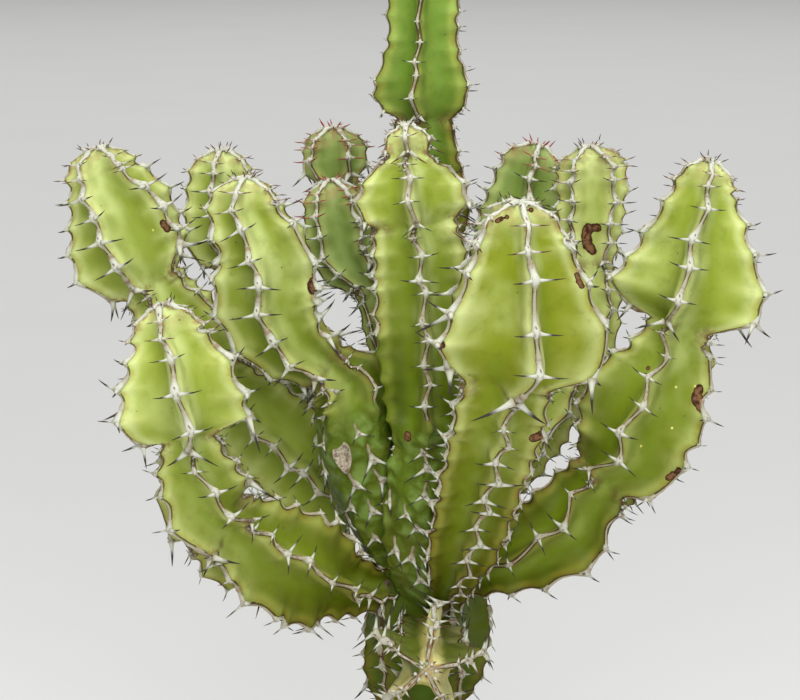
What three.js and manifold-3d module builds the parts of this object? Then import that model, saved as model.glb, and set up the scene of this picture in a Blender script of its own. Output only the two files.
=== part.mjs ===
// A candelabra spurge, Euphorbia magnicapsula, standing in a plain clay pot of soil.
// One tall main stem carries a whorl of twelve jointed, five-ribbed side stems. Every rib ends in a
// pale horny margin with pairs of spines, which is a piece of its own on each stem.
import * as THREE from "three";
import { mergeVertices } from "three/addons/utils/BufferGeometryUtils.js";
import Module from "manifold-3d";

const wasm = await Module();
wasm.setup();

// Driving dimensions, in millimetres and degrees. +Z is up and -Y is the front.
const GAP = 0.3;

const RIBS = 5;
const RIB_EDGE_HALF = 1.4; // half the width of the flat edge that each rib ends in
const VALLEY_SHARE = 0.46; // radius of the valleys as a share of the reach of the ribs
const SCALLOP = 1.3; // how far a tooth of a rib stands out, and a gap between teeth lies in
const STAGGER = 3.5; // how far the teeth of neighbouring ribs are shifted along the stem
const ZIGZAG = 1.2; // how far the edge swings to either side from tooth to tooth
const TOOTH_PITCH = 35; // along a rib, from one tooth to the next

const HORN_HALF = 1.7;
const HORN_HEIGHT = 2.2;
const TOOTH_HALF = 1.8; // half the length of the shield under a pair of spines
const SPINE_LENGTH = 10;
const SPINE_SPREAD = 55; // between a spine and the middle plane of its rib
const SPINE_CLEAR = 1.5; // what a spine keeps to the other stems
const SPINE_APART = 2.4; // what the spines of two stems keep to each other
const MARGIN_CLEAR = 1.5; // what a margin keeps to the other stems
const TRUNK_MARGIN_TOP = 300; // height up to which the trunk's own margins are one with it
const TRUNK_MARGIN_HALF = 1.1;
const TRUNK_MARGIN_SUNK = 1; // how deep a margin that is one with the trunk sits in its rib
const CAP_THICK = 2.4;
const CAP_TAPER = 0.7;
const CUT_GAP = 0.35; // between two stems where one grows out of the other or they touch

const POT_HEIGHT = 180;
const POT_RADIUS = 104;
const FOOT_RADIUS = 76;
const RIM_HEIGHT = 30;
const RIM_OUT = 6; // how far the rim stands out over the wall
const WALL = 7;
const FLOOR = 10;
const SOIL_BELOW_RIM = 12;
const DRAIN_RADIUS = 6;
const DRAIN_CIRCLE = 42;
const DRAINS = 3;
const POT_SIDES = 32;
const ROOT_DEPTH = 30; // how deep the round foot of the main stem stands in the soil
const ROOT_RADIUS = 19;

const SOIL_TOP = POT_HEIGHT - SOIL_BELOW_RIM;

// Sections of each stem from its root to its tip: the place of its axis, the reach of its ribs and
// the turn of the section. WAIST marks a constriction between two joints, and ROUND a plain stem.
const WAIST = "waist";
const ROUND = "round";
const MAIN_STEM = [
  [0, 0, SOIL_TOP - ROOT_DEPTH, ROOT_RADIUS, 60, ROUND],
  [0, 0, SOIL_TOP + 1, ROOT_RADIUS, 58, ROUND],
  [0, 0, 184, 29, 54],
  [0, 0, 206, 31, 50],
  [0, 0, 226, 22, 42, WAIST],
  [1, 0, 242, 32, 36],
  [2, 0, 262, 34, 30],
  [3, -1, 285, 31, 24],
  [3, -1, 302, 26, 20, WAIST],
  [3, 0, 325, 30, 14],
  [4, 0, 352, 27, 6],
  [4, 0, 384, 21, -2, WAIST],
  [3, 0, 400, 26, -4],
  [2, 0, 440, 24, -6],
  [3, 0, 473, 19, -10, WAIST],
  [2, 0, 488, 24, -10],
  [1, 0, 511, 20, -12],
  [2, 0, 531, 14.5, -16, WAIST],
  [1, 0, 544, 25, -14],
  [1, 0, 559, 21, -12],
  [1, 0, 570, 18, -10],
  [1, 0, 596, 18.5, -8],
  [2, 0, 618, 13, -6, WAIST],
  [2, 0, 630, 22, -4],
  [2, 0, 652, 19, 0],
  [2, 0, 675, 14, 4],
  [2, 0, 690, 6, 8],
];

const BRANCHES = {
  centre: [
    [1, -10, 290, 10, 0, WAIST],
    [1, -30, 315, 19, 0],
    [1, -38, 348, 22, 0],
    [1, -42, 379, 16, 0, WAIST],
    [1, -44, 397, 21, 0],
    [0, -46, 449, 24, -2],
    [-2, -47, 476, 23, -3],
    [-4, -48, 487, 20, -4, WAIST],
    [-5, -48, 498, 27.5, -4],
    [-6, -48, 509, 23, -6],
    [-7, -48, 519, 10, -8, WAIST],
    [-7, -47, 526, 11.5, -8],
    [-8, -47, 532, 5, -8],
  ],
  front_right: [
    [8, -8, 280, 8, 10, WAIST],
    [15, -45, 312, 13, 10],
    [19, -60, 332, 18.5, 10],
    [27, -84, 375, 21.5, 10],
    [34, -100, 408, 23, 10],
    [36, -105, 424, 21.5, 11, WAIST],
    [42, -110, 444, 41.5, 11],
    [42, -114, 461, 35, 13],
    [42, -118, 480, 26.5, 12],
    [42, -120, 493, 20, 12],
    [41, -122, 502, 14, 12],
    [42, -122, 506, 5, 12],
  ],
  right: [
    [8, -4, 296, 9, -10, WAIST],
    [45, -20, 313, 18, -12],
    [70, -22, 327, 24, -16],
    [91, -25, 355, 18, -28, WAIST],
    [103, -27, 371, 29, -14],
    [110, -28, 393, 32.5, -12],
    [121, -28, 412, 24.5, -14],
    [127, -28, 433, 16.5, -26, WAIST],
    [130, -28, 449, 39, -7],
    [133, -27, 470, 30, -8],
    [133, -26, 486, 22.5, 4],
    [135, -25, 501, 14.5, 10],
    [138, -25, 512, 5, 10],
  ],
  left_front: [
    [-7, -4, 290, 9, 15, WAIST],
    [-41, -32, 304, 18, 20],
    [-59, -55, 318, 28, 30],
    [-85, -72, 334, 26, 44],
    [-95, -80, 347, 18, 46, WAIST],
    [-102, -85, 355, 23, 36],
    [-107, -88, 375, 20, 14],
    [-110, -92, 394, 13, 2, WAIST],
    [-112, -96, 406, 31, 3],
    [-112, -98, 423, 28, -4],
    [-116, -98, 440, 19, -8],
    [-119, -98, 451, 10.5, -10],
    [-120, -98, 455, 4, -10],
  ],
  left_middle: [
    [-8, -8, 298, 9, -34, WAIST],
    [-25, -20, 343, 19, -34],
    [-34, -29, 385, 20, -36],
    [-34, -30, 402, 21.5, -36],
    [-46, -31, 413, 13, -24, WAIST],
    [-67, -33, 430, 22.5, -12],
    [-75, -34, 450, 26.5, -8],
    [-74, -35, 471, 24.5, -14],
    [-83, -36, 485, 19, -14],
    [-86, -36, 499, 17, -14],
    [-85, -36, 505, 7, -14],
  ],
  left_back: [
    [-6, 1, 316, 9, -10, WAIST],
    [-47, 10, 345, 25, -12],
    [-75, 16, 370, 27, -14],
    [-102, 20, 398, 16, -18, WAIST],
    [-110, 22, 410, 22, -20],
    [-123, 24, 427, 21, -22],
    [-136, 25, 444, 17, -22, WAIST],
    [-146, 27, 461, 32, -20],
    [-152, 29, 481, 28, -28],
    [-159, 30, 494, 22, -34],
    [-164, 30, 506, 12, -38],
    [-164, 30, 511, 5, -38],
  ],
  back_left: [
    [-6, 4, 328, 9, 10, WAIST],
    [-36, 24, 357, 17, 10],
    [-55, 38, 380, 18, 8],
    [-70, 48, 405, 12, 2, WAIST],
    [-80, 53, 422, 15, -4],
    [-89, 57, 438, 14, -10],
    [-98, 60, 450, 11, -14, WAIST],
    [-103, 61, 462, 20, -14],
    [-103, 62, 483, 19, -14],
    [-103, 62, 497, 16, -14],
    [-103, 62, 506, 6, -14],
  ],
  back_centre: [
    [-4, 6, 344, 9, 28, WAIST],
    [-10, 40, 369, 15, 28],
    [-13, 58, 403, 15, 28],
    [-19, 68, 423, 11, 28, WAIST],
    [-27, 74, 444, 15, 30],
    [-36, 80, 465, 15, 30],
    [-44, 84, 487, 11, 30, WAIST],
    [-46, 86, 499, 18, 30],
    [-46, 86, 509, 14, 30],
    [-46, 86, 515, 8, 30],
  ],
  inner_left: [
    [-3, -2, 362, 8, -30, WAIST],
    [-10, 4, 386, 12, -32],
    [-15, 12, 407, 11, -34],
    [-21, 20, 427, 10, -36],
    [-27, 26, 443, 8, -36, WAIST],
    [-39, 30, 456, 17, -36],
    [-42, 32, 471, 18.5, -36],
    [-45, 33, 484, 14.5, -36],
    [-46, 34, 494, 7, -36],
  ],
  back_right: [
    [4, 6, 344, 9, 10, WAIST],
    [18, 36, 370, 17, 10],
    [28, 54, 404, 19, 10],
    [37, 62, 434, 13, 10, WAIST],
    [44, 68, 454, 20, 10],
    [51, 72, 470, 22.5, 10],
    [56, 75, 489, 19, 8],
    [59, 76, 502, 15, 6],
    [61, 76, 507, 7, 6],
  ],
  outer_back_right: [
    [6, 2, 328, 9, 30, WAIST],
    [40, 16, 349, 17, 30],
    [61, 26, 375, 19, 30],
    [75, 34, 397, 14, 30, WAIST],
    [84, 40, 416, 18, 30],
    [88, 44, 432, 16, 30],
    [87, 48, 449, 12, 30, WAIST],
    [87, 50, 469, 17, 30],
    [88, 52, 492, 19, 30],
    [87, 52, 504, 15, 30],
    [86, 52, 509, 7, 30],
  ],
  low_front: [
    [4, -6, 276, 10, 2, WAIST],
    [4, -48, 279, 17, 2],
    [3, -68, 281, 14, 2, WAIST],
    [2, -84, 282, 27, 2],
    [2, -98, 284, 20, 2],
    [1, -108, 286, 8, 2],
    [1, -112, 287, 3, 2],
  ],
};

// Colours of the living stems, from the shaded trunk to the bluish young tips
const TRUNK_GREEN = 0x4f7a2a;
const SUNLIT_GREEN = 0x8ea43a;
const YOUNG_GREEN = 0x6d8f4a;
const HORN_GREY = 0xb9b3a2;
const COLOURS = {
  back_centre: YOUNG_GREEN,
  inner_left: YOUNG_GREEN,
  back_right: YOUNG_GREEN,
};

const part = new THREE.Group();

// Solids and meshes

function solid(geometry) {
  const bare = geometry.clone();
  bare.deleteAttribute("normal");
  bare.deleteAttribute("uv");
  const merged = mergeVertices(bare, 1e-4);
  return new wasm.Manifold(
    new wasm.Mesh({
      numProp: 3,
      vertProperties: merged.attributes.position.array,
      triVerts: new Uint32Array(merged.index.array),
    }),
  );
}

function geometryOf(shape) {
  const mesh = shape.getMesh();
  const geometry = new THREE.BufferGeometry();
  geometry.setAttribute("position", new THREE.BufferAttribute(mesh.vertProperties, 3));
  geometry.setIndex(new THREE.BufferAttribute(mesh.triVerts, 1));
  geometry.computeVertexNormals();
  return geometry;
}

function largest(shape) {
  const bodies = shape.decompose();
  bodies.sort((a, b) => b.volume() - a.volume());
  return bodies[0];
}

function add(name, geometry, color, roughness) {
  const material = new THREE.MeshStandardMaterial({ color, roughness, metalness: 0 });
  const mesh = new THREE.Mesh(geometry, material);
  mesh.name = name;
  part.add(mesh);
}

function closedGeometry(corners, faces) {
  const geometry = new THREE.BufferGeometry();
  const numbers = corners.flatMap((p) => p.toArray());
  geometry.setAttribute("position", new THREE.Float32BufferAttribute(numbers, 3));
  geometry.setIndex(faces);
  return geometry;
}

// The axis of a stem, with a frame at every 2 mm that turns as little as it can

const AXIS_STEP = 2;
const AXIS_EASING = 12; // passes that take the wobble out of the axis
const FRAME_EASING = 30; // further passes for the directions that the sections face
const FACING = new THREE.Vector3(0, -1, 0.5); // the side that a section's turn is counted from

function relaxed(points, passes) {
  let now = points.map((p) => p.clone());
  for (let pass = 0; pass < passes; pass++) {
    now = now.map((p, i) => {
      if (i === 0 || i === now.length - 1) return p.clone();
      return now[i - 1].clone().addScaledVector(p, 2).add(now[i + 1]).divideScalar(4);
    });
  }
  return now;
}

function axisOf(rows) {
  const curve = new THREE.CatmullRomCurve3(
    rows.map(([x, y, z]) => new THREE.Vector3(x, y, z)),
    false,
    "centripetal",
  );
  const PER_ROW = 24;
  const dense = curve.getPoints(PER_ROW * (rows.length - 1));
  const travelled = [0];
  for (let i = 1; i < dense.length; i++) {
    travelled.push(travelled[i - 1] + dense[i].distanceTo(dense[i - 1]));
  }
  const length = travelled.at(-1);
  const steps = Math.round(length / AXIS_STEP);
  let points = [];
  for (let i = 0, k = 0; i <= steps; i++) {
    const s = (length * i) / steps;
    while (k < dense.length - 2 && travelled[k + 1] < s) k++;
    const share = (s - travelled[k]) / (travelled[k + 1] - travelled[k]);
    points.push(dense[k].clone().lerp(dense[k + 1], Math.min(share, 1)));
  }
  points = relaxed(points, AXIS_EASING);
  const smooth = relaxed(points, FRAME_EASING);
  const tangents = smooth.map((p, i) => {
    const ahead = smooth[Math.min(i + 1, steps)];
    return ahead.clone().sub(smooth[Math.max(i - 1, 0)]).normalize();
  });
  const fronts = [];
  let front = FACING;
  for (let i = steps; i >= 0; i--) {
    front = front.clone().addScaledVector(tangents[i], -front.dot(tangents[i])).normalize();
    fronts[i] = front;
  }
  const stations = rows.map((row, i) => travelled[i * PER_ROW]);
  return { points, tangents, fronts, stations, step: length / steps };
}

const WAIST_FLARE = 1.6; // how much steeper than the next row asks a stem widens above a waist

// A value given at the rows, along the stem: smooth and never past its neighbours, and sharp at a waist
function keyed(rows, stations, column, s) {
  const value = rows.map((row) => row[column]);
  const slope = [];
  for (let i = 0; i + 1 < rows.length; i++) {
    slope.push((value[i + 1] - value[i]) / (stations[i + 1] - stations[i]));
  }
  const last = rows.length - 1;
  const slopeAt = (i, after) => {
    if (i === 0) return slope[0];
    if (i === last) return slope[last - 1];
    const sharp = rows[i][5] === WAIST && column === 3;
    if (sharp) return after ? slope[i] * WAIST_FLARE : slope[i - 1];
    const product = slope[i - 1] * slope[i];
    return product <= 0 ? 0 : (2 * product) / (slope[i - 1] + slope[i]);
  };
  let i = 0;
  while (i < last - 1 && stations[i + 1] < s) i++;
  const span = stations[i + 1] - stations[i];
  const t = THREE.MathUtils.clamp((s - stations[i]) / span, 0, 1);
  const t2 = t * t;
  const t3 = t2 * t;
  return (
    (2 * t3 - 3 * t2 + 1) * value[i] +
    (t3 - 2 * t2 + t) * span * slopeAt(i, true) +
    (3 * t2 - 2 * t3) * value[i + 1] +
    (t3 - t2) * span * slopeAt(i + 1, false)
  );
}

function makeStem(name, rows) {
  const stem = { name, rows, ...axisOf(rows) };
  stem.length = stem.stations.at(-1);
  stem.reach = (s) => keyed(rows, stem.stations, 3, s);
  stem.turn = (s) => THREE.MathUtils.degToRad(keyed(rows, stem.stations, 4, s));
  stem.at = (s) => {
    const place = THREE.MathUtils.clamp(s / stem.step, 0, stem.points.length - 1);
    const i = Math.min(Math.floor(place), stem.points.length - 2);
    const share = place - i;
    const tangent = stem.tangents[i].clone().lerp(stem.tangents[i + 1], share).normalize();
    const front = stem.fronts[i].clone().lerp(stem.fronts[i + 1], share).normalize();
    return {
      point: stem.points[i].clone().lerp(stem.points[i + 1], share),
      tangent,
      front,
      side: new THREE.Vector3().crossVectors(tangent, front),
    };
  };
  stem.rings = ringsOf(stem);
  return stem;
}

// The sections that the skin is hung on. Between two waists teeth and gaps take turns, and the last
// tooth sits just under the tip.
function ringsOf(stem) {
  const { rows, stations } = stem;
  const last = rows.length - 1;
  const anchors = [];
  rows.forEach((row, i) => {
    const plain = i === 0 || i === last;
    if (plain || row[5] || i === last - 1) {
      anchors.push({ s: stations[i], tooth: !plain && !row[5], round: row[5] === ROUND });
    }
  });
  const rings = [anchors[0]];
  for (let i = 0; i + 1 < anchors.length; i++) {
    const [from, to] = [anchors[i], anchors[i + 1]];
    const pitches = (to.s - from.s) / TOOTH_PITCH;
    let parts = 2 * Math.max(1, Math.round(pitches));
    if (to.tooth) parts = 2 * Math.max(0, Math.round(pitches - 0.5)) + 1;
    if (to.round || i === anchors.length - 2) parts = 1;
    for (let k = 1; k < parts; k++) {
      rings.push({ s: from.s + ((to.s - from.s) * k) / parts, tooth: k % 2 === 1, gap: k % 2 === 0 });
    }
    rings.push(to);
  }
  return rings;
}

// A body that is grown all round moves its slanting faces out by the same distance
const EDGE_GROWTH = 1.2;
const VALLEY_GROWTH = 1.25;

// The edge of one rib at one section: its middle, half its width and the directions there
function ribEdge(stem, index, rib, grow = 0) {
  const ring = stem.rings[index];
  const waved = (ring.tooth || ring.gap) && index < stem.rings.length - 2;
  const s = ring.s + (waved ? STAGGER * (rib % 2 ? 0.5 : -0.5) : 0);
  const { point, front, side } = stem.at(s);
  const angle = stem.turn(s) + (2 * Math.PI * rib) / RIBS;
  const out = front.clone().multiplyScalar(Math.cos(angle)).addScaledVector(side, Math.sin(angle));
  const across = front.clone().multiplyScalar(-Math.sin(angle)).addScaledVector(side, Math.cos(angle));
  const small = Math.min(1, stem.reach(s) / 20);
  const wave = waved ? (ring.tooth ? SCALLOP : -SCALLOP) * small : 0;
  const swing = waved ? ZIGZAG * ((index + rib) % 2 ? 1 : -1) * small : 0;
  const reach = stem.reach(s) + wave + grow;
  const flat = ring.round ? reach * Math.sin(Math.PI / (3 * RIBS)) : RIB_EDGE_HALF;
  const half = flat + EDGE_GROWTH * grow;
  return { middle: point.addScaledVector(out, reach).addScaledVector(across, swing), out, across, half };
}

// The green body of a stem: two corners for each rib at every section, and a valley between ribs at
// every section but those in the gaps between teeth
function flesh(stem, grow = 0) {
  const corners = [];
  const put = (p) => corners.push(p) - 1;
  const sections = stem.rings.map((ring, i) => {
    const { point, front, side } = stem.at(ring.s);
    const radius = stem.reach(ring.s) * (ring.round ? 1 : VALLEY_SHARE) + VALLEY_GROWTH * grow;
    return Array.from({ length: RIBS }, (_, rib) => {
      const edge = ribEdge(stem, i, rib, grow);
      const angle = stem.turn(ring.s) + (2 * Math.PI * (rib + 0.5)) / RIBS;
      const valley = point.clone().addScaledVector(front, radius * Math.cos(angle));
      valley.addScaledVector(side, radius * Math.sin(angle));
      return {
        left: put(edge.middle.clone().addScaledVector(edge.across, -edge.half)),
        right: put(edge.middle.clone().addScaledVector(edge.across, edge.half)),
        valley: ring.gap ? null : put(valley),
      };
    });
  });
  const faces = [];
  for (let rib = 0; rib < RIBS; rib++) {
    const next = (rib + 1) % RIBS;
    for (let i = 0; i + 1 < sections.length; i++) {
      const [a, b] = [sections[i][rib], sections[i + 1][rib]];
      faces.push(a.left, a.right, b.right, a.left, b.right, b.left);
      if (stem.rings[i].gap) continue;
      const [c, d] = [sections[i][next], sections[i + 1][next]];
      if (stem.rings[i + 1].gap) {
        const [e, f] = [sections[i + 2][rib], sections[i + 2][next]];
        faces.push(a.right, a.valley, b.right, a.valley, e.valley, b.right, e.valley, e.right, b.right);
        faces.push(a.valley, c.left, d.left, a.valley, d.left, e.valley, d.left, f.left, e.valley);
      } else {
        faces.push(a.right, a.valley, b.valley, a.right, b.valley, b.right);
        faces.push(a.valley, c.left, d.left, a.valley, d.left, b.valley);
      }
    }
  }
  const root = put(stem.at(0).point);
  const tip = put(stem.at(stem.length).point);
  const loops = [sections[0], sections.at(-1)].map((ring) => ring.flatMap((rib) => Object.values(rib)));
  loops[0].forEach((corner, k, loop) => faces.push(loop[(k + 1) % loop.length], corner, root));
  loops[1].forEach((corner, k, loop) => faces.push(corner, loop[(k + 1) % loop.length], tip));
  return solid(closedGeometry(corners, faces));
}

// How far a point stands clear of the green of a stem and of its horny edges
function clearance(stem, point) {
  let nearest = 0;
  let least = Infinity;
  stem.points.forEach((p, i) => {
    const d = p.distanceToSquared(point);
    if (d < least) {
      least = d;
      nearest = i;
    }
  });
  const away = point.clone().sub(stem.points[nearest]);
  const s = nearest * stem.step;
  const { front, side, tangent } = stem.at(s);
  const x = away.dot(front);
  const y = away.dot(side);
  const radius = Math.hypot(x, y);
  const sector = (2 * Math.PI) / RIBS;
  let angle = (Math.atan2(y, x) - stem.turn(s)) % sector;
  if (angle > sector / 2) angle -= sector;
  if (angle < -sector / 2) angle += sector;
  const reach = stem.reach(s) + SCALLOP;
  const share = Math.abs(angle) / (sector / 2);
  const valley = reach * VALLEY_SHARE;
  const chord = (reach * valley) / (valley + (reach - valley) * share);
  const beside = Math.abs(Math.sin(angle)) * radius < HORN_HALF + ZIGZAG;
  const surface = beside ? reach + HORN_HEIGHT + GAP : chord + RIB_EDGE_HALF;
  return Math.max(radius - surface, Math.abs(away.dot(tangent)) - AXIS_STEP);
}

// Horny margins with their spines

const placedSpines = [];

function spineFits(stem, stems, base, tip) {
  const samples = [0, 0.25, 0.5, 0.75, 1].map((share) => base.clone().lerp(tip, share));
  const others = stems.filter((other) => other !== stem);
  const clear = others.every((other) => samples.slice(1).every((p) => clearance(other, p) > SPINE_CLEAR));
  const far = (spine) => spine.samples.every((p) => samples.every((q) => p.distanceTo(q) > SPINE_APART));
  const apart = placedSpines.every((spine) => spine.stem === stem || far(spine));
  if (!clear || !apart || Math.min(base.z, tip.z) < SOIL_TOP + SPINE_APART) return false;
  placedSpines.push({ stem, samples });
  return true;
}

// One margin from the section where it stands clear up to the tip, as a closed three-sided strip
function margin(stem, stems, rib, first, last, half, lift) {
  const edges = stem.rings.map((ring, i) => ribEdge(stem, i, rib));
  const spread = THREE.MathUtils.degToRad(SPINE_SPREAD);
  const slices = [];
  for (let i = first; i <= last; i++) {
    const { middle, out, across } = edges[i];
    const before = edges[Math.max(i - 1, 0)].middle;
    const after = edges[Math.min(i + 1, edges.length - 1)].middle;
    const along = after.clone().sub(before).normalize();
    const up = out.clone().addScaledVector(along, -out.dot(along)).normalize();
    const slice = (toward, spines) => {
      const place = middle.clone();
      let rise = lift;
      if (toward) {
        const way = toward.clone().sub(middle).normalize();
        place.addScaledVector(way, TOOTH_HALF);
        rise += Math.max(0, -way.dot(up) * TOOTH_HALF);
      }
      place.addScaledVector(up, rise);
      slices.push({
        left: place.clone().addScaledVector(across, -half),
        right: place.clone().addScaledVector(across, half),
        ridge: place.clone().addScaledVector(up, HORN_HEIGHT),
        spines,
      });
    };
    const tooth = stem.rings[i].tooth && i > first && i < last;
    if (!tooth) {
      slice(null, null);
      continue;
    }
    const foot = middle.clone().addScaledVector(up, lift + HORN_HEIGHT / 2);
    const spines = [-1, 1].map((side) => {
      const base = foot.clone().addScaledVector(across, (side * half) / 2);
      const tip = base
        .clone()
        .addScaledVector(up, SPINE_LENGTH * Math.cos(spread))
        .addScaledVector(across, side * SPINE_LENGTH * Math.sin(spread));
      return spineFits(stem, stems, base, tip) ? tip : null;
    });
    slice(before, spines);
    slice(after, null);
  }
  return solid(strip(slices));
}

// Slices run from the root to the tip. Where a slice carries spines, its side faces rise to them.
function strip(slices) {
  const corners = slices.flatMap(({ left, right, ridge }) => [left, right, ridge]);
  const faces = [];
  const wall = (a, b, c, d, tip) => {
    if (!tip) {
      faces.push(a, b, c, a, c, d);
      return;
    }
    const apex = corners.push(tip) - 1;
    faces.push(a, b, apex, b, c, apex, c, d, apex, d, a, apex);
  };
  for (let i = 0; i + 1 < slices.length; i++) {
    const [left, right, ridge] = [3 * i, 3 * i + 1, 3 * i + 2];
    const [tipLeft, tipRight] = slices[i].spines ?? [null, null];
    wall(left, left + 3, right + 3, right, null);
    wall(right, right + 3, ridge + 3, ridge, tipRight);
    wall(ridge, ridge + 3, left + 3, left, tipLeft);
  }
  const top = 3 * (slices.length - 1);
  faces.push(0, 1, 2);
  faces.push(top, top + 2, top + 1);
  return closedGeometry(corners, faces);
}

// Whether the margin of a rib is clear of every other stem from one section half-way to the next
function marginFits(stem, stems, rib, index) {
  const [here, next] = [ribEdge(stem, index, rib), ribEdge(stem, index + 1, rib)];
  const half = here.middle.clone().lerp(next.middle, 0.5);
  const places = [here.middle, half].flatMap((p) => [
    p.clone().addScaledVector(here.across, -HORN_HALF),
    p.clone().addScaledVector(here.across, HORN_HALF),
    p.clone().addScaledVector(here.out, HORN_HEIGHT + GAP),
  ]);
  const others = stems.filter((other) => other !== stem);
  const clear = others.every((other) => places.every((p) => clearance(other, p) > MARGIN_CLEAR));
  return clear && !stem.rings[index].round;
}

// The lowest section from which a margin runs clear of every other stem up to the tip
function clearFrom(stem, stems, rib) {
  let first = stem.rings.length - 1;
  while (first > 0 && marginFits(stem, stems, rib, first - 1)) first--;
  return first;
}

// The small five-sided plate over the tip of a stem
function plate(stem) {
  const { point, tangent, front, side } = stem.at(stem.length);
  const rim = stem.reach(stem.length) + HORN_HEIGHT / 2;
  const corners = [
    [GAP, rim],
    [GAP + CAP_THICK, rim * CAP_TAPER],
  ].flatMap(([height, radius]) =>
    Array.from({ length: RIBS }, (_, k) => {
      const angle = stem.turn(stem.length) + (2 * Math.PI * k) / RIBS;
      const corner = point.clone().addScaledVector(tangent, height);
      corner.addScaledVector(front, radius * Math.cos(angle));
      return corner.addScaledVector(side, radius * Math.sin(angle));
    }),
  );
  const faces = [];
  for (let k = 0; k < RIBS; k++) {
    const next = (k + 1) % RIBS;
    faces.push(k, next, next + RIBS, k, next + RIBS, k + RIBS);
    if (k > 0 && next > 0) faces.push(0, next, k, RIBS, k + RIBS, next + RIBS);
  }
  return solid(closedGeometry(corners, faces));
}

// All margins of a stem, joined by the plate
function horn(stem, stems) {
  const top = stem.rings.length - 1;
  let joined = plate(stem);
  for (let rib = 0; rib < RIBS; rib++) {
    const first = clearFrom(stem, stems, rib);
    if (first < top) joined = joined.add(margin(stem, stems, rib, first, top, HORN_HALF, GAP));
  }
  return largest(joined);
}

// The margins below the side stems, which are one with the green of the trunk
function trunkMargins(stem, stems) {
  const runs = [];
  for (let rib = 0; rib < RIBS; rib++) {
    const top = clearFrom(stem, stems, rib) - 2;
    let run = [];
    for (let i = 1; i <= top; i++) {
      const fits = stem.at(stem.rings[i].s).point.z < TRUNK_MARGIN_TOP && marginFits(stem, stems, rib, i);
      if (fits) run.push(i);
      if (run.length > 2 && (!fits || i === top)) runs.push([rib, run[0], run.at(-1)]);
      if (!fits) run = [];
    }
  }
  return runs.map(([rib, first, last]) =>
    margin(stem, stems, rib, first, last, TRUNK_MARGIN_HALF, -TRUNK_MARGIN_SUNK),
  );
}

// The stems, each cut where it leaves the main stem or touches one made before it

const mainStem = makeStem("main_stem", MAIN_STEM);
const branches = Object.entries(BRANCHES).map(([name, rows]) => makeStem(name + "_stem", rows));
const stems = [mainStem, ...branches];

const cutters = [];
for (const stem of stems) {
  let body = flesh(stem);
  for (const cutter of cutters) body = body.subtract(cutter);
  cutters.push(flesh(stem, CUT_GAP));
  stem.body = largest(body);
}
trunkMargins(mainStem, stems).forEach((ridge) => {
  mainStem.body = mainStem.body.add(ridge);
});

for (const stem of stems) {
  const key = stem.name.replace("_stem", "");
  const colour = stem === mainStem ? TRUNK_GREEN : (COLOURS[key] ?? SUNLIT_GREEN);
  add(stem.name, geometryOf(stem.body), colour, 0.55);
  add(key + "_horn", geometryOf(horn(stem, stems)), HORN_GREY, 0.75);
}

// The pot and the soil that fills it

// Radius of the pot's tapered outer wall
function wallAt(z) {
  return FOOT_RADIUS + ((POT_RADIUS - RIM_OUT - FOOT_RADIUS) * z) / POT_HEIGHT;
}

function pot() {
  const rimFoot = POT_HEIGHT - RIM_HEIGHT;
  const profile = [
    [0, 0],
    [FOOT_RADIUS, 0],
    [wallAt(rimFoot), rimFoot],
    [POT_RADIUS - 2, rimFoot],
    [POT_RADIUS, POT_HEIGHT - 3],
    [POT_RADIUS - 3, POT_HEIGHT],
    [wallAt(POT_HEIGHT) - WALL, POT_HEIGHT],
    [wallAt(FLOOR) - WALL, FLOOR],
    [0, FLOOR],
  ].map(([r, z]) => new THREE.Vector2(r, z));
  let clay = solid(new THREE.LatheGeometry(profile, POT_SIDES).rotateX(Math.PI / 2));
  for (let k = 0; k < DRAINS; k++) {
    const angle = (2 * Math.PI * (k + 0.25)) / DRAINS;
    const hole = new THREE.CylinderGeometry(DRAIN_RADIUS, DRAIN_RADIUS, 3 * FLOOR, 12).rotateX(Math.PI / 2);
    hole.translate(DRAIN_CIRCLE * Math.cos(angle), DRAIN_CIRCLE * Math.sin(angle), 0);
    clay = clay.subtract(solid(hole));
  }
  return clay;
}

const TAPER_GAP = 0.1; // what the wall's slant adds to the gap beside the soil

function soil() {
  const innerAt = (z) => wallAt(z) - WALL - GAP / Math.cos(Math.PI / POT_SIDES) - TAPER_GAP;
  const hole = ROOT_RADIUS + 1;
  const bottom = FLOOR + GAP;
  const profile = [
    [0, bottom],
    [innerAt(bottom), bottom],
    [innerAt(SOIL_TOP), SOIL_TOP],
    [hole, SOIL_TOP],
    [hole, SOIL_TOP - ROOT_DEPTH - GAP],
    [0, SOIL_TOP - ROOT_DEPTH - GAP],
  ].map(([r, z]) => new THREE.Vector2(r, z));
  return solid(new THREE.LatheGeometry(profile, POT_SIDES).rotateX(Math.PI / 2));
}

add("pot", geometryOf(pot()), 0xb5673f, 0.9);
add("soil", geometryOf(soil()), 0x4a3a2c, 1);

export default part;
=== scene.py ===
import math

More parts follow.
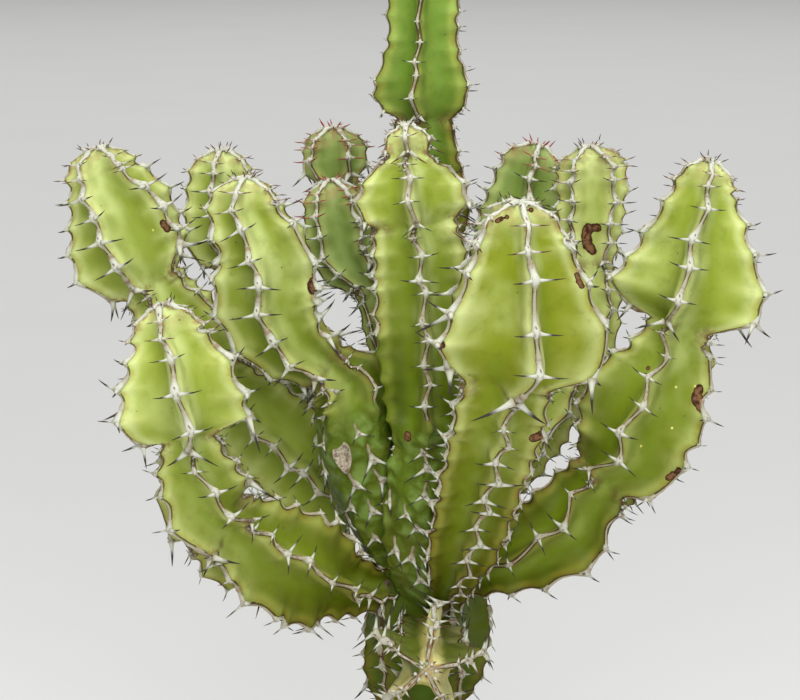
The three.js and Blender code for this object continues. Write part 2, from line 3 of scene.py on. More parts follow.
import bpy
import numpy as np
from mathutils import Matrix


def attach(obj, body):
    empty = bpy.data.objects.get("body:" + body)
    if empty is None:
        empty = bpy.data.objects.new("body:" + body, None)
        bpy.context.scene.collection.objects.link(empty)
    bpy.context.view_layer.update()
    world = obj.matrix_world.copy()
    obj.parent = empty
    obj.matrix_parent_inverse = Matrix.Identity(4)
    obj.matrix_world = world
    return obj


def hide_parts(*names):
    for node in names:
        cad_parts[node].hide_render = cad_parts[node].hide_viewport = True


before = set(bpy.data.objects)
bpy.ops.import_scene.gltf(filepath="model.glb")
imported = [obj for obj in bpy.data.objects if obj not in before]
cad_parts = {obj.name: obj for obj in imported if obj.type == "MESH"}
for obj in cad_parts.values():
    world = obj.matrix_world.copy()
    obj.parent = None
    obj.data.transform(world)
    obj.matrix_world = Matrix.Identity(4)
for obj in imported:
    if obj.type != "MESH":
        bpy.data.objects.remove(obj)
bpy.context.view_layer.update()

MM = 0.001

# The pot: a plain wheel-thrown clay pot with a thick rim and three drain holes in its floor.
# It is unglazed and fired to a red-brown, and lime from the water has dried on its wall.

POT_HEIGHT = 180
POT_RADIUS = 104
FOOT_RADIUS = 76
RIM_HEIGHT = 30
RIM_OUT = 6
CLAY_WALL = 7
CLAY_FLOOR = 10
SOIL_TOP = 168
DRAIN_RADIUS = 6
DRAIN_CIRCLE = 42
DRAINS = 3
POT_SIDES = 160
POT_MIDDLE = 1  # radius of the innermost ring of points, over and under the floor
WALL_FOOT = 8  # height of the lowest ring of points that is set on the wall
WALL_STEP = 1.1  # between rings of points up the wall
EDGE_ROUNDING = 2.5
NEARLY_STRAIGHT = 0.05  # sine of a bend that isn't worth rounding
DRILL_SIDES = 40
DRILL_UNDER = 8  # how far the drill starts under the pot and ends over its foot
DRILL_OVER = 20
THROWING_STEP = 5.5  # from one groove of the thrower's fingers to the next
THROWING_DEPTH = 0.16


class Wire:
    """One output of a shader node. Python's operators on it add Math nodes."""

    def __init__(self, finish, socket):
        self.finish = finish
        self.socket = socket

    def maths(self, operation, *others):
        return self.finish.node("Math", {"operation": operation}, dict(enumerate((self, *others))))

    def __add__(self, other):
        return self.maths("ADD", other)

    def __radd__(self, other):
        return self.maths("ADD", other)

    def __sub__(self, other):
        return self.maths("SUBTRACT", other)

    def __rsub__(self, other):
        return self.finish.node("Math", {"operation": "SUBTRACT"}, {0: other, 1: self})

    def __mul__(self, other):
        return self.maths("MULTIPLY", other)

    def __rmul__(self, other):
        return self.maths("MULTIPLY", other)

    def __truediv__(self, other):
        return self.maths("DIVIDE", other)

    def least(self, other):
        return self.maths("MINIMUM", other)

    def most(self, other):
        return self.maths("MAXIMUM", other)

    def between(self, low, high):
        """0 below low, 1 above high, and eased in between"""
        settings = {"interpolation_type": "SMOOTHSTEP"}
        return self.finish.node("MapRange", settings, {"Value": self, "From Min": low, "From Max": high})

    def hump(self, middle, width):
        """1 at the middle, and down to 0 at width on either side"""
        away = (self - middle).maths("ABSOLUTE")
        return 1 - away.between(0, width)


class Finish:
    """A material of this plant or its pot, with its shader's sockets set by name."""

    def __init__(self, name, roughness, **constants):
        self.material = bpy.data.materials.new(name)
        self.material.use_nodes = True
        self.nodes = self.material.node_tree.nodes
        self.shader = self.nodes["Principled BSDF"]
        self.shader.inputs["Roughness"].default_value = roughness
        for socket, value in constants.items():
            self.shader.inputs[socket.replace("_", " ")].default_value = value

    def feed(self, socket, value):
        if isinstance(value, Wire):
            self.material.node_tree.links.new(value.socket, socket)
        elif isinstance(value, tuple) and len(value) == 3 and socket.type == "RGBA":
            socket.default_value = (*value, 1)
        else:
            socket.default_value = value

    def node(self, kind, settings, inputs, output=0):
        made = self.nodes.new("ShaderNode" + kind)
        for name, value in settings.items():
            setattr(made, name, value)
        for name, value in inputs.items():
            self.feed(made.inputs[name], value)
        shown = [socket for socket in made.outputs if socket.enabled]
        return Wire(self, made.outputs[output] if isinstance(output, str) else shown[output])

    def told(self, name):
        """A number that the mesh holds at every point"""
        return self.node("Attribute", {"attribute_name": name}, {}, "Fac")

    def place(self):
        return self.node("TexCoord", {}, {}, "Object")

    def grain(self, size, detail, rough=0.5):
        """Cloudy noise between 0 and 1, in spots about size millimetres across"""
        inputs = {"Scale": 1 / (size * MM), "Detail": detail, "Roughness": rough}
        return self.node("TexNoise", {}, {"Vector": self.place(), **inputs}, "Fac")

    def specks(self, size):
        """Distance to the nearest of points strewn about size millimetres apart, 0 at a point"""
        inputs = {"Vector": self.place(), "Scale": 1 / (size * MM)}
        return self.node("TexVoronoi", {}, inputs, "Distance")

    def cracks(self, size):
        """Distance to the nearest border between cells about size millimetres across, 0 on a border"""
        swirl = {"Vector": self.place(), "Scale": 1 / (0.7 * size * MM)}
        bent = self.node("TexNoise", {}, swirl, "Color")
        shift = self.node("VectorMath", {"operation": "MULTIPLY"}, {0: bent, 1: (0.9 * size * MM,) * 3})
        where = self.node("VectorMath", {"operation": "ADD"}, {0: self.place(), 1: shift})
        inputs = {"Vector": where, "Scale": 1 / (size * MM)}
        return self.node("TexVoronoi", {"feature": "DISTANCE_TO_EDGE"}, inputs, "Distance")

    def far_from(self, place):
        """Distance in millimetres from a place on the part"""
        spot = tuple(MM * along for along in place)
        inputs = {0: self.place(), 1: spot}
        return self.node("VectorMath", {"operation": "DISTANCE"}, inputs, "Value") / MM

    def mix(self, under, over, amount):
        settings = {"data_type": "RGBA", "clamp_factor": True}
        inputs = {"Factor": amount, 6: under, 7: over}
        return self.node("Mix", settings, inputs)

    def colour(self, value):
        self.feed(self.shader.inputs["Base Color"], value)

    def roughness(self, value):
        self.feed(self.shader.inputs["Roughness"], value)

    def relief(self, height, depth):
        """Low relief of a height between 0 and 1, depth millimetres deep"""
        inputs = {"Strength": 1.0, "Distance": depth * MM, "Height": height}
        self.feed(self.shader.inputs["Normal"], self.node("Bump", {}, inputs, "Normal"))


def stand(name, points, quads, triangles, finish, numbers=None):
    """A smooth mesh object from points in millimetres, with a number for each point by name"""
    mesh = bpy.data.meshes.new(name)
    mesh.vertices.add(len(points))
    mesh.vertices.foreach_set("co", (np.asarray(points) * MM).astype(np.float32).ravel())
    corners = np.concatenate([np.ravel(quads), np.ravel(triangles)]).astype(np.int32)
    starts = np.concatenate([4 * np.arange(len(quads)), 4 * len(quads) + 3 * np.arange(len(triangles))])
    mesh.loops.add(len(corners))
    mesh.loops.foreach_set("vertex_index", corners)
    mesh.polygons.add(len(starts))
    mesh.polygons.foreach_set("loop_start", starts.astype(np.int32))
    mesh.update(calc_edges=True)
    mesh.shade_smooth()
    for key, values in (numbers or {}).items():
        layer = mesh.attributes.new(key, "FLOAT", "POINT")
        layer.data.foreach_set("value", np.asarray(values, dtype=np.float32))
    mesh.materials.append(finish.material)
    piece = bpy.data.objects.new(name, mesh)
    bpy.context.scene.collection.objects.link(piece)
    return piece


def skin_of_rings(rings, around):
    """Quads between one ring of points and the next"""
    i, k = np.meshgrid(np.arange(rings - 1), np.arange(around), indexing="ij")
    a = i * around + k
    b = i * around + (k + 1) % around
    return np.stack([a, b, b + around, a + around], -1).reshape(-1, 4)


def fan(ring, around, centre, facing_on):
    """Triangles from a ring of points to one point, facing on along the rings or back"""
    k = np.arange(around)
    here = ring + k
    after = ring + (k + 1) % around
    edges = (here, after) if facing_on else (after, here)
    return np.stack([*edges, np.full(around, centre)], -1)


def lids_of_rings(rings, around, outward=True):
    """The two lids of a skin of rings, whose middles are the two points after all its rings"""
    last_ring = (rings - 1) * around
    low_lid = fan(0, around, rings * around, not outward)
    high_lid = fan(last_ring, around, rings * around + 1, outward)
    return np.vstack([low_lid, high_lid])


def turned(radii, heights, sides):
    """Rings of points around the middle of the pot, one for each radius and its height"""
    turns = np.linspace(0, 2 * math.pi, sides, endpoint=False)
    x = np.outer(radii, np.cos(turns))
    y = np.outer(radii, np.sin(turns))
    z = np.outer(heights, np.ones(sides))
    return np.stack([x, y, z], -1).reshape(-1, 3)


def ripple(points, size, seed, waves=14):
    """Smooth unevenness between about -1 and 1 over points, in swells about size across"""
    dice = np.random.default_rng(seed)
    ways = dice.normal(size=(waves, 3))
    ways /= np.linalg.norm(ways, axis=1)[:, None]
    lengths = size * dice.uniform(0.7, 1.5, waves)
    starts = dice.uniform(0, 2 * math.pi, waves)
    swells = np.sin(points @ (ways / lengths[:, None]).T * math.pi + starts)
    return swells.sum(-1) / math.sqrt(waves / 2) / 1.6


def eased(value, low, high):
    share = np.clip((value - low) / (high - low), 0, 1)
    return share * share * (3 - 2 * share)


def wall_radius(z):
    return FOOT_RADIUS + (POT_RADIUS - RIM_OUT - FOOT_RADIUS) * z / POT_HEIGHT


def rounded(outline, radius, steps=4):
    """The outline with every sharp corner between its ends turned into a short curve"""
    soft = [outline[0]]
    for before, corner, after in zip(outline, outline[1:], outline[2:]):
        before, corner, after = np.array(before), np.array(corner), np.array(after)
        into = before - corner
        away = after - corner
        long_in, long_out = np.linalg.norm(into), np.linalg.norm(away)
        if abs(into[0] * away[1] - into[1] * away[0]) < NEARLY_STRAIGHT * long_in * long_out:
            soft.append(corner)
            continue
        cut = min(radius, long_in / 3, long_out / 3)
        start = corner + into / long_in * cut
        end = corner + away / long_out * cut
        for t in np.linspace(0, 1, steps + 1):
            soft.append((1 - t) ** 2 * start + 2 * t * (1 - t) * corner + t * t * end)
    soft.append(outline[-1])
    return np.array(soft)


rim_foot = POT_HEIGHT - RIM_HEIGHT
pot_outline = [
    (POT_MIDDLE, 0),
    (FOOT_RADIUS, 0),
    *[(wall_radius(z), z) for z in np.arange(WALL_FOOT, rim_foot, WALL_STEP)],
    (wall_radius(rim_foot), rim_foot),
    (POT_RADIUS - 2, rim_foot),
    (POT_RADIUS, POT_HEIGHT - 4),
    (POT_RADIUS - 3, POT_HEIGHT),
    (wall_radius(POT_HEIGHT) - CLAY_WALL, POT_HEIGHT),
    (wall_radius(CLAY_FLOOR) - CLAY_WALL, CLAY_FLOOR),
    (POT_MIDDLE, CLAY_FLOOR),
]
pot_section = rounded(pot_outline, EDGE_ROUNDING)
radii, heights = pot_section[:, 0], pot_section[:, 1]
outside = (heights > 6) & (heights < rim_foot - 3) & (radii > wall_radius(heights) - 2)
grooves = np.cos(2 * math.pi * heights / THROWING_STEP) * THROWING_DEPTH * outside
pot_points = turned(radii - np.abs(grooves), heights, POT_SIDES)
pot_points = np.vstack([pot_points, [[0, 0, 0], [0, 0, CLAY_FLOOR]]])
pot_quads = skin_of_rings(len(pot_section), POT_SIDES)
pot_lids = lids_of_rings(len(pot_section), POT_SIDES)

clay = Finish("fired_clay", 0.9)
firing = clay.grain(60, 4)
speckle = clay.grain(1.6, 2)
pot_height = clay.node("SeparateXYZ", {}, {"Vector": clay.place()}, "Z") / MM
clay_tone = clay.mix((0.42, 0.15, 0.065), (0.53, 0.23, 0.11), firing.between(0.35, 0.65))
clay_tone = clay.mix(clay_tone, (0.30, 0.10, 0.045), speckle.between(0.56, 0.7) * 0.6)
lime = clay.grain(9, 5, 0.65).between(0.5, 0.72) * clay.grain(45, 2).between(0.42, 0.6)
lime = lime * (0.25 + 0.75 * pot_height.hump(rim_foot, 26).most(pot_height.hump(8, 22)))
clay_tone = clay.mix(clay_tone, (0.66, 0.56, 0.46), lime * 0.7)
clay.colour(clay_tone)
clay.roughness(0.82 + 0.14 * speckle)
clay.relief(clay.grain(0.9, 3) * 0.7 + lime * 0.5, 0.25)

pot = stand("clay_pot", pot_points, pot_quads, pot_lids, clay)
circle = turned([DRAIN_RADIUS], [0], DRILL_SIDES)
drill_skin = (skin_of_rings(2, DRILL_SIDES), lids_of_rings(2, DRILL_SIDES))
for k in range(DRAINS):
    angle = 2 * math.pi * (k + 0.25) / DRAINS
    middle = np.array([DRAIN_CIRCLE * math.cos(angle), DRAIN_CIRCLE * math.sin(angle), 0])
    start = middle - [0, 0, DRILL_UNDER]
    end = middle + [0, 0, DRILL_OVER]
    drill = stand("drill", np.vstack([circle + start, circle + end, start, end]), *drill_skin, clay)
    cut = pot.modifiers.new("drain", "BOOLEAN")
    cut.object = drill
    with bpy.context.temp_override(object=pot, active_object=pot):
        bpy.ops.object.modifier_apply(modifier="drain")
    bpy.data.objects.remove(drill, do_unlink=True)
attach(pot, "root")
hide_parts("pot")

# The soil: gritty potting mix of peat, coarse sand and pale pumice, filled to just under the rim
# and pressed down by watering. The foot of the trunk stands in it.

SOIL_FOOT = 12
SOIL_MIDDLE = 15  # radius of the innermost ring of points, inside the foot of the trunk
SOIL_SIDES = 200
TOP_RINGS = 62
SIDE_RINGS = 6
SOIL_RINGS = TOP_RINGS + SIDE_RINGS
STONES = 420
STONES_FROM = 23  # from the middle of the trunk
STONE_SIDES = 8
STONE_RINGS = 5

soil_outer = wall_radius(SOIL_TOP) - CLAY_WALL - 0.4
soil_foot_radius = wall_radius(SOIL_FOOT) - CLAY_WALL - 0.6
top_radii = np.linspace(SOIL_MIDDLE, soil_outer, TOP_RINGS)
side_radii = np.linspace(soil_outer, soil_foot_radius, SIDE_RINGS)
top_heights = np.full(TOP_RINGS, SOIL_TOP - 0.8)
side_heights = np.linspace(SOIL_TOP - 4, SOIL_FOOT, SIDE_RINGS)
soil_section = (np.append(top_radii, side_radii), np.append(top_heights, side_heights))
soil_points = turned(*soil_section, SOIL_SIDES)
lumps = ripple(soil_points, 9, 5) * 0.8 + ripple(soil_points, 3, 6) * 0.5
lumps = lumps + ripple(soil_points, 30, 7) * 0.9
on_top = np.repeat(np.arange(SOIL_RINGS) < TOP_RINGS - 1, SOIL_SIDES)
soil_points[:, 2] += np.where(on_top, lumps - 1, 0)
soil_quads = skin_of_rings(SOIL_RINGS, SOIL_SIDES)[:, ::-1]
soil_points = np.vstack([soil_points, [0, 0, SOIL_TOP - 3], [0, 0, SOIL_FOOT]])
soil_lids = lids_of_rings(SOIL_RINGS, SOIL_SIDES, outward=False)
soil_tone = np.zeros(len(soil_points))

dice = np.random.default_rng(11)
stone_way = []
for level in np.linspace(-1, 1, STONE_RINGS + 2)[1:-1]:
    for step in range(STONE_SIDES):
        turn = 2 * math.pi * (step + 0.5 * (round(level * 3) % 2)) / STONE_SIDES
        flat = math.sqrt(1 - level * level)
        stone_way.append((flat * math.cos(turn), flat * math.sin(turn), level))
stone_way = np.array(stone_way + [(0, 0, -1), (0, 0, 1)])
stone_quads = skin_of_rings(STONE_RINGS, STONE_SIDES)
stone_lids = lids_of_rings(STONE_RINGS, STONE_SIDES)
for _ in range(STONES):
    size = 0.9 + 3.2 * dice.random() ** 3
    far = math.sqrt(dice.uniform(STONES_FROM**2, (soil_outer - 5) ** 2))
    bearing = dice.uniform(0, 2 * math.pi)
    squash = dice.uniform(0.6, 1.1, 3) * (1, 1, 0.75)
    chipped = 1 + 0.16 * dice.normal(size=(len(stone_way), 1))
    middle = (far * math.cos(bearing), far * math.sin(bearing), SOIL_TOP - 1.6 + 0.25 * size)
    first = len(soil_points)
    soil_points = np.vstack([soil_points, stone_way * chipped * squash * size + middle])
    soil_quads = np.vstack([soil_quads, stone_quads + first])
    soil_lids = np.vstack([soil_lids, stone_lids + first])
    soil_tone = np.append(soil_tone, np.full(len(stone_way), dice.uniform(0.2, 1)))

peat = Finish("gritty_soil", 0.95)
crumb = peat.grain(2.2, 5, 0.7)
stone_tone = peat.told("stone")
peat_tone = peat.mix((0.022, 0.014, 0.009), (0.085, 0.055, 0.034), crumb.between(0.35, 0.7))
peat_tone = peat.mix(peat_tone, (0.16, 0.12, 0.08), peat.grain(0.9, 2).between(0.62, 0.7))
stone_colour = peat.mix((0.13, 0.105, 0.085), (0.50, 0.46, 0.40), stone_tone.between(0.45, 0.95))
stone_colour = peat.mix(stone_colour, (0.09, 0.06, 0.04), crumb.between(0.5, 0.62) * 0.5)
peat.colour(peat.mix(peat_tone, stone_colour, stone_tone.between(0.05, 0.15)))
peat.relief(crumb, 0.9)
soil = stand("potting_soil", soil_points, soil_quads, soil_lids, peat, {"stone": soil_tone})
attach(soil, "root")
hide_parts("soil")

# The green stems: one tall five-ribbed main stem and the whorl of twelve side stems that grew out of
# it, each a chain of joints with a narrow waist where growth stopped for a season. They are living
# flesh under a waxy skin, coloured with painted highlights beside the ribs' margins and painted shade
# in the furrows.

STRIPE_LEFT = 5.5  # width of the painted highlight stripes to the left of the margins of ribs that face the front
STRIPE_RIGHT = 9
WAIST = "waist"
ROUND = "round"
# Along the middle of each stem: x, y, z, the reach of its ribs and their turn in degrees. The last word
# says that there is a waist, or that the stem is round and without ribs up to there.
STEM_ROWS = {
    "main": [
        (0, 0, 138, 19, 60, ROUND),
        (0, 0, 169, 19, 58, ROUND),
        (0, 0, 184, 29, 54),
        (0, 0, 206, 31, 50),
        (0, 0, 226, 22, 42, WAIST),
        (1, 0, 242, 32, 36),
        (2, 0, 262, 34, 30),
        (3, -1, 285, 31, 24),
        (3, -1, 302, 26, 20, WAIST),
        (3, 0, 325, 30, 14),
        (4, 0, 352, 27, 6),
        (4, 0, 384, 21, -2, WAIST),
        (3, 0, 400, 26, -4),
        (2, 0, 440, 24, -6),
        (3, 0, 473, 19, -10, WAIST),
        (2, 0, 488, 24, -10),
        (1, 0, 511, 20, -12),
        (2, 0, 531, 14.5, -16, WAIST),
        (1, 0, 544, 25, -14),
        (1, 0, 559, 21, -12),
        (1, 0, 570, 18, -10),
        (1, 0, 596, 18.5, -8),
        (2, 0, 618, 13, -6, WAIST),
        (2, 0, 630, 22, -4),
        (2, 0, 652, 19, 0),
        (2, 0, 675, 14, 4),
        (2, 0, 690, 6, 8),
    ],
    "centre": [
        (1, -10, 290, 10, 0, WAIST),
        (1, -30, 315, 19, 0),
        (1, -38, 348, 22, 0),
        (1, -42, 379, 16, 0, WAIST),
        (1, -44, 397, 21, 0),
        (0, -46, 449, 24, -2),
        (-2, -47, 476, 23, -3),
        (-4, -48, 487, 20, -4, WAIST),
        (-5, -48, 498, 27.5, -4),
        (-6, -48, 509, 23, -6),
        (-7, -48, 519, 10, -8, WAIST),
        (-7, -47, 526, 11.5, -8),
        (-8, -47, 532, 5, -8),
    ],
    "front_right": [
        (8, -8, 280, 8, 10, WAIST),
        (15, -45, 312, 13, 10),
        (19, -60, 332, 18.5, 10),
        (27, -84, 375, 21.5, 10),
        (34, -100, 408, 23, 10),
        (36, -105, 424, 21.5, 11, WAIST),
        (42, -110, 444, 41.5, 11),
        (42, -114, 461, 35, 13),
        (42, -118, 480, 26.5, 12),
        (42, -120, 493, 20, 12),
        (41, -122, 502, 14, 12),
        (42, -122, 506, 5, 12),
    ],
    "right": [
        (8, -4, 296, 9, -10, WAIST),
        (45, -20, 313, 18, -12),
        (70, -22, 327, 24, -16),
        (91, -25, 355, 18, -28, WAIST),
        (103, -27, 371, 29, -14),
        (110, -28, 393, 32.5, -12),
        (121, -28, 412, 24.5, -14),
        (127, -28, 433, 16.5, -26, WAIST),
        (130, -28, 449, 39, -7),
        (133, -27, 470, 30, -8),
        (133, -26, 486, 22.5, 4),
        (135, -25, 501, 14.5, 10),
        (138, -25, 512, 5, 10),
    ],
    "left_front": [
        (-7, -4, 290, 9, 15, WAIST),
        (-41, -32, 304, 18, 20),
        (-59, -55, 318, 28, 30),
        (-85, -72, 334, 26, 44),
        (-95, -80, 347, 18, 46, WAIST),
        (-102, -85, 355, 23, 36),
        (-107, -88, 375, 20, 14),
        (-110, -92, 394, 13, 2, WAIST),
        (-112, -96, 406, 31, 3),
        (-112, -98, 423, 28, -4),
        (-116, -98, 440, 19, -8),
        (-119, -98, 451, 10.5, -10),
        (-120, -98, 455, 4, -10),
    ],
    "left_middle": [
        (-8, -8, 298, 9, -34, WAIST),
        (-25, -20, 343, 19, -34),
        (-34, -29, 385, 20, -36),
        (-34, -30, 402, 21.5, -36),
        (-46, -31, 413, 13, -24, WAIST),
        (-67, -33, 430, 22.5, -12),
        (-75, -34, 450, 26.5, -8),
        (-74, -35, 471, 24.5, -14),
        (-83, -36, 485, 19, -14),
        (-86, -36, 499, 17, -14),
        (-85, -36, 505, 7, -14),
    ],
    "left_back": [
        (-6, 1, 316, 9, -10, WAIST),
        (-47, 10, 345, 25, -12),
        (-75, 16, 370, 27, -14),
        (-102, 20, 398, 16, -18, WAIST),
        (-110, 22, 410, 22, -20),
        (-123, 24, 427, 21, -22),
        (-136, 25, 444, 17, -22, WAIST),
        (-146, 27, 461, 32, -20),
        (-152, 29, 481, 28, -28),
        (-159, 30, 494, 22, -34),
        (-164, 30, 506, 12, -38),
        (-164, 30, 511, 5, -38),
    ],
    "back_left": [
        (-6, 4, 328, 9, 10, WAIST),
        (-36, 24, 357, 17, 10),
        (-55, 38, 380, 18, 8),
        (-70, 48, 405, 12, 2, WAIST),
        (-80, 53, 422, 15, -4),
        (-89, 57, 438, 14, -10),
        (-98, 60, 450, 11, -14, WAIST),
        (-103, 61, 462, 20, -14),
        (-103, 62, 483, 19, -14),
        (-103, 62, 497, 16, -14),
        (-103, 62, 506, 6, -14),
    ],
    "back_centre": [
        (-4, 6, 344, 9, 28, WAIST),
        (-10, 40, 369, 15, 28),
        (-13, 58, 403, 15, 28),
        (-19, 68, 423, 11, 28, WAIST),
        (-27, 74, 444, 15, 30),
        (-36, 80, 465, 15, 30),
        (-44, 84, 487, 11, 30, WAIST),
        (-46, 86, 499, 18, 30),
        (-46, 86, 509, 14, 30),
        (-46, 86, 515, 8, 30),
    ],
    "inner_left": [
        (-3, -2, 362, 8, -30, WAIST),
        (-10, 4, 386, 12, -32),
        (-15, 12, 407, 11, -34),
        (-21, 20, 427, 10, -36),
        (-27, 26, 443, 8, -36, WAIST),
        (-39, 30, 456, 17, -36),
        (-42, 32, 471, 18.5, -36),
        (-45, 33, 484, 14.5, -36),
        (-46, 34, 494, 7, -36),
    ],
    "back_right": [
        (4, 6, 344, 9, 10, WAIST),
        (18, 36, 370, 17, 10),
        (28, 54, 404, 19, 10),
        (37, 62, 434, 13, 10, WAIST),
        (44, 68, 454, 20, 10),
        (51, 72, 470, 22.5, 10),
        (56, 75, 489, 19, 8),
        (59, 76, 502, 15, 6),
        (61, 76, 507, 7, 6),
    ],
    "outer_back_right": [
        (6, 2, 328, 9, 30, WAIST),
        (40, 16, 349, 17, 30),
        (61, 26, 375, 19, 30),
        (75, 34, 397, 14, 30, WAIST),
        (84, 40, 416, 18, 30),
        (88, 44, 432, 16, 30),
        (87, 48, 449, 12, 30, WAIST),
        (87, 50, 469, 17, 30),
        (88, 52, 492, 19, 30),
        (87, 52, 504, 15, 30),
        (86, 52, 509, 7, 30),
    ],
    "low_front": [
        (4, -6, 276, 10, 2, WAIST),
        (4, -48, 279, 17, 2),
        (3, -68, 281, 14, 2, WAIST),
        (2, -84, 282, 27, 2),
        (2, -98, 284, 20, 2),
        (1, -108, 286, 8, 2),
        (1, -112, 287, 3, 2),
    ],
}

RIBS = 5
SECTOR = 2 * math.pi / RIBS
RIB_EDGE_HALF = 1.05
FULL_REACH = 20  # reach of a rib from which its teeth are as tall as they get
SWING_SHARPNESS = 0.94  # nearer to 1, the edge swings in straighter zigzags
SWING_PEAK = 1.22  # arc sine of the sharpness
FURROW_SHARE = 0.45  # radius of the furrows as a share of the reach of the ribs
RING_STEP = 1.5  # between the rings of points along a stem
FLANK_POINTS = 8  # points over half a furrow
FLANK_CROWDING = 1.35  # above 1, they crowd to the margin
BULGE_ALONG = 0.34  # where a flank bulges, and how far, in shares of its width
BULGE_OUT = 0.08
TROUGH_LEVEL = 0.38  # the share of its width over which it runs level into the furrow
TOOTH_DENT = 1.1  # depth of the hollow between two teeth beside the margin
TOOTH_DENT_REACH = 9
CURVE_STEPS = 24  # of the curve from one row of a stem to the next
AXIS_STEP = 2
AXIS_EASING = 12  # rounds of easing
FRAME_EASING = 30
WAIST_FLARE = 1.6  # how much steeper a joint widens out of a waist than its rows say
# Where old flesh has swollen: from and up to which height, and what it adds to the share of the furrows
SMOOTH_ZONES = {"main": (258, 395, 0.27), "centre": (0, 392, 0.42), "left_middle": (0, 398, 0.45)}
TIP_LENGTH = 13  # the blunt end of a stem
TIP_CLOSING = 0.58  # how much of its reach a rib loses there
DOME_RISE = 1.6  # over the end of a stem
DOME_RINGS = (0.35, 0.7, 0.95)
AGE_SPAN = 260  # from a tip down to its oldest skin
TIP_SPAN = 14
WAIST_SPAN = 7
FACING = np.array([0, -1, 0.5])  # the way from which the turn of the ribs is counted

# How each stem's ribs are toothed: from tooth to tooth on the lower joints and on the last, how far
# a tooth stands out, and how far the edge swings from side to side on the lower joints and the last
TOOTHING = {
    "main": (9.5, 9.0, 1.0, 0.9, 0.9),
    "centre": (10.5, 10.0, 1.3, 1.4, 1.2),
    "front_right": (10.3, 18.0, 1.5, 2.2, 1.0),
    "right": (14.5, 13.0, 1.8, 2.8, 1.3),
    "left_front": (12.5, 14.0, 2.2, 1.8, 1.1),
    "left_middle": (10.5, 13.5, 1.6, 1.7, 1.3),
    "left_back": (11.0, 12.5, 1.5, 1.6, 1.2),
    "back_left": (11.0, 12.0, 1.3, 1.3, 1.0),
    "back_centre": (10.0, 9.5, 1.2, 1.2, 1.0),
    "inner_left": (10.0, 10.0, 1.1, 1.1, 1.0),
    "back_right": (11.0, 11.0, 1.5, 1.4, 1.2),
    "outer_back_right": (11.0, 10.0, 1.5, 1.6, 1.2),
    "low_front": (10.0, 9.0, 1.6, 1.4, 1.2),
}
LONG_JOINT = 18  # a last joint that is longer has two more teeth under its tip
TIP_TOOTH = 3.2  # from the last tooth to the end of the stem
WAIST_TOOTH = 2.5  # from the last tooth of a joint to the waist above it
RIB_SHIFT = 0.22  # how far the teeth of odd and even ribs stand apart, in shares of their distance
LOOSE_LOW = 0.22  # how far teeth stray on the lower joints and on the last, in the same shares
LOOSE_TOP = 0.08
UNEQUAL = (0.4, 0.12)  # how unequal the shields are on the lower joints and on the last

# The low front stem is deep green on top: between which heights and how far beside its upper margin
# that sets in, and the heights over which its yellow lower faces give way to a darker green
UPPER_MARGIN = 4
GREEN_HEIGHTS = (279.5, 284.5)
GREEN_ASIDE = (3.0, 6.5)
AGEING_HEIGHTS = (272, 284)
# Heights up to which a margin is buried in a neighbour's flesh, by stem and rib
OVERGROWN = {
    ("centre", 4): 432,
    ("centre", 0): 392,
    ("left_middle", 0): 398,
    ("left_middle", 1): 398,
    ("left_middle", 2): 398,
}


def relaxed(points, passes):
    for _ in range(passes):
        inner = (points[:-2] + 2 * points[1:-1] + points[2:]) / 4
        points = np.vstack([points[:1], inner, points[-1:]])
    return points


def unit(vectors):
    return vectors / np.linalg.norm(vectors, axis=-1, keepdims=True)


def curve_through(places):
    """A smooth curve through places that doesn't overshoot where they are close together"""
    ends = np.vstack([2 * places[0] - places[1], places, 2 * places[-1] - places[-2]])
    curve = []
    for p0, p1, p2, p3 in zip(ends, ends[1:], ends[2:], ends[3:]):
        d0, d1, d2 = (math.sqrt(np.linalg.norm(b - a)) for a, b in ((p0, p1), (p1, p2), (p2, p3)))
        leave = ((p1 - p0) / d0 - (p2 - p0) / (d0 + d1) + (p2 - p1) / d1) * d1
        arrive = ((p2 - p1) / d1 - (p3 - p1) / (d1 + d2) + (p3 - p2) / d2) * d1
        for t in np.arange(CURVE_STEPS) / CURVE_STEPS:
            t2, t3 = t * t, t * t * t
            start = (2 * t3 - 3 * t2 + 1) * p1 + (t3 - 2 * t2 + t) * leave
            curve.append(start + (3 * t2 - 2 * t3) * p2 + (t3 - t2) * arrive)
    return np.array([*curve, places[-1]])


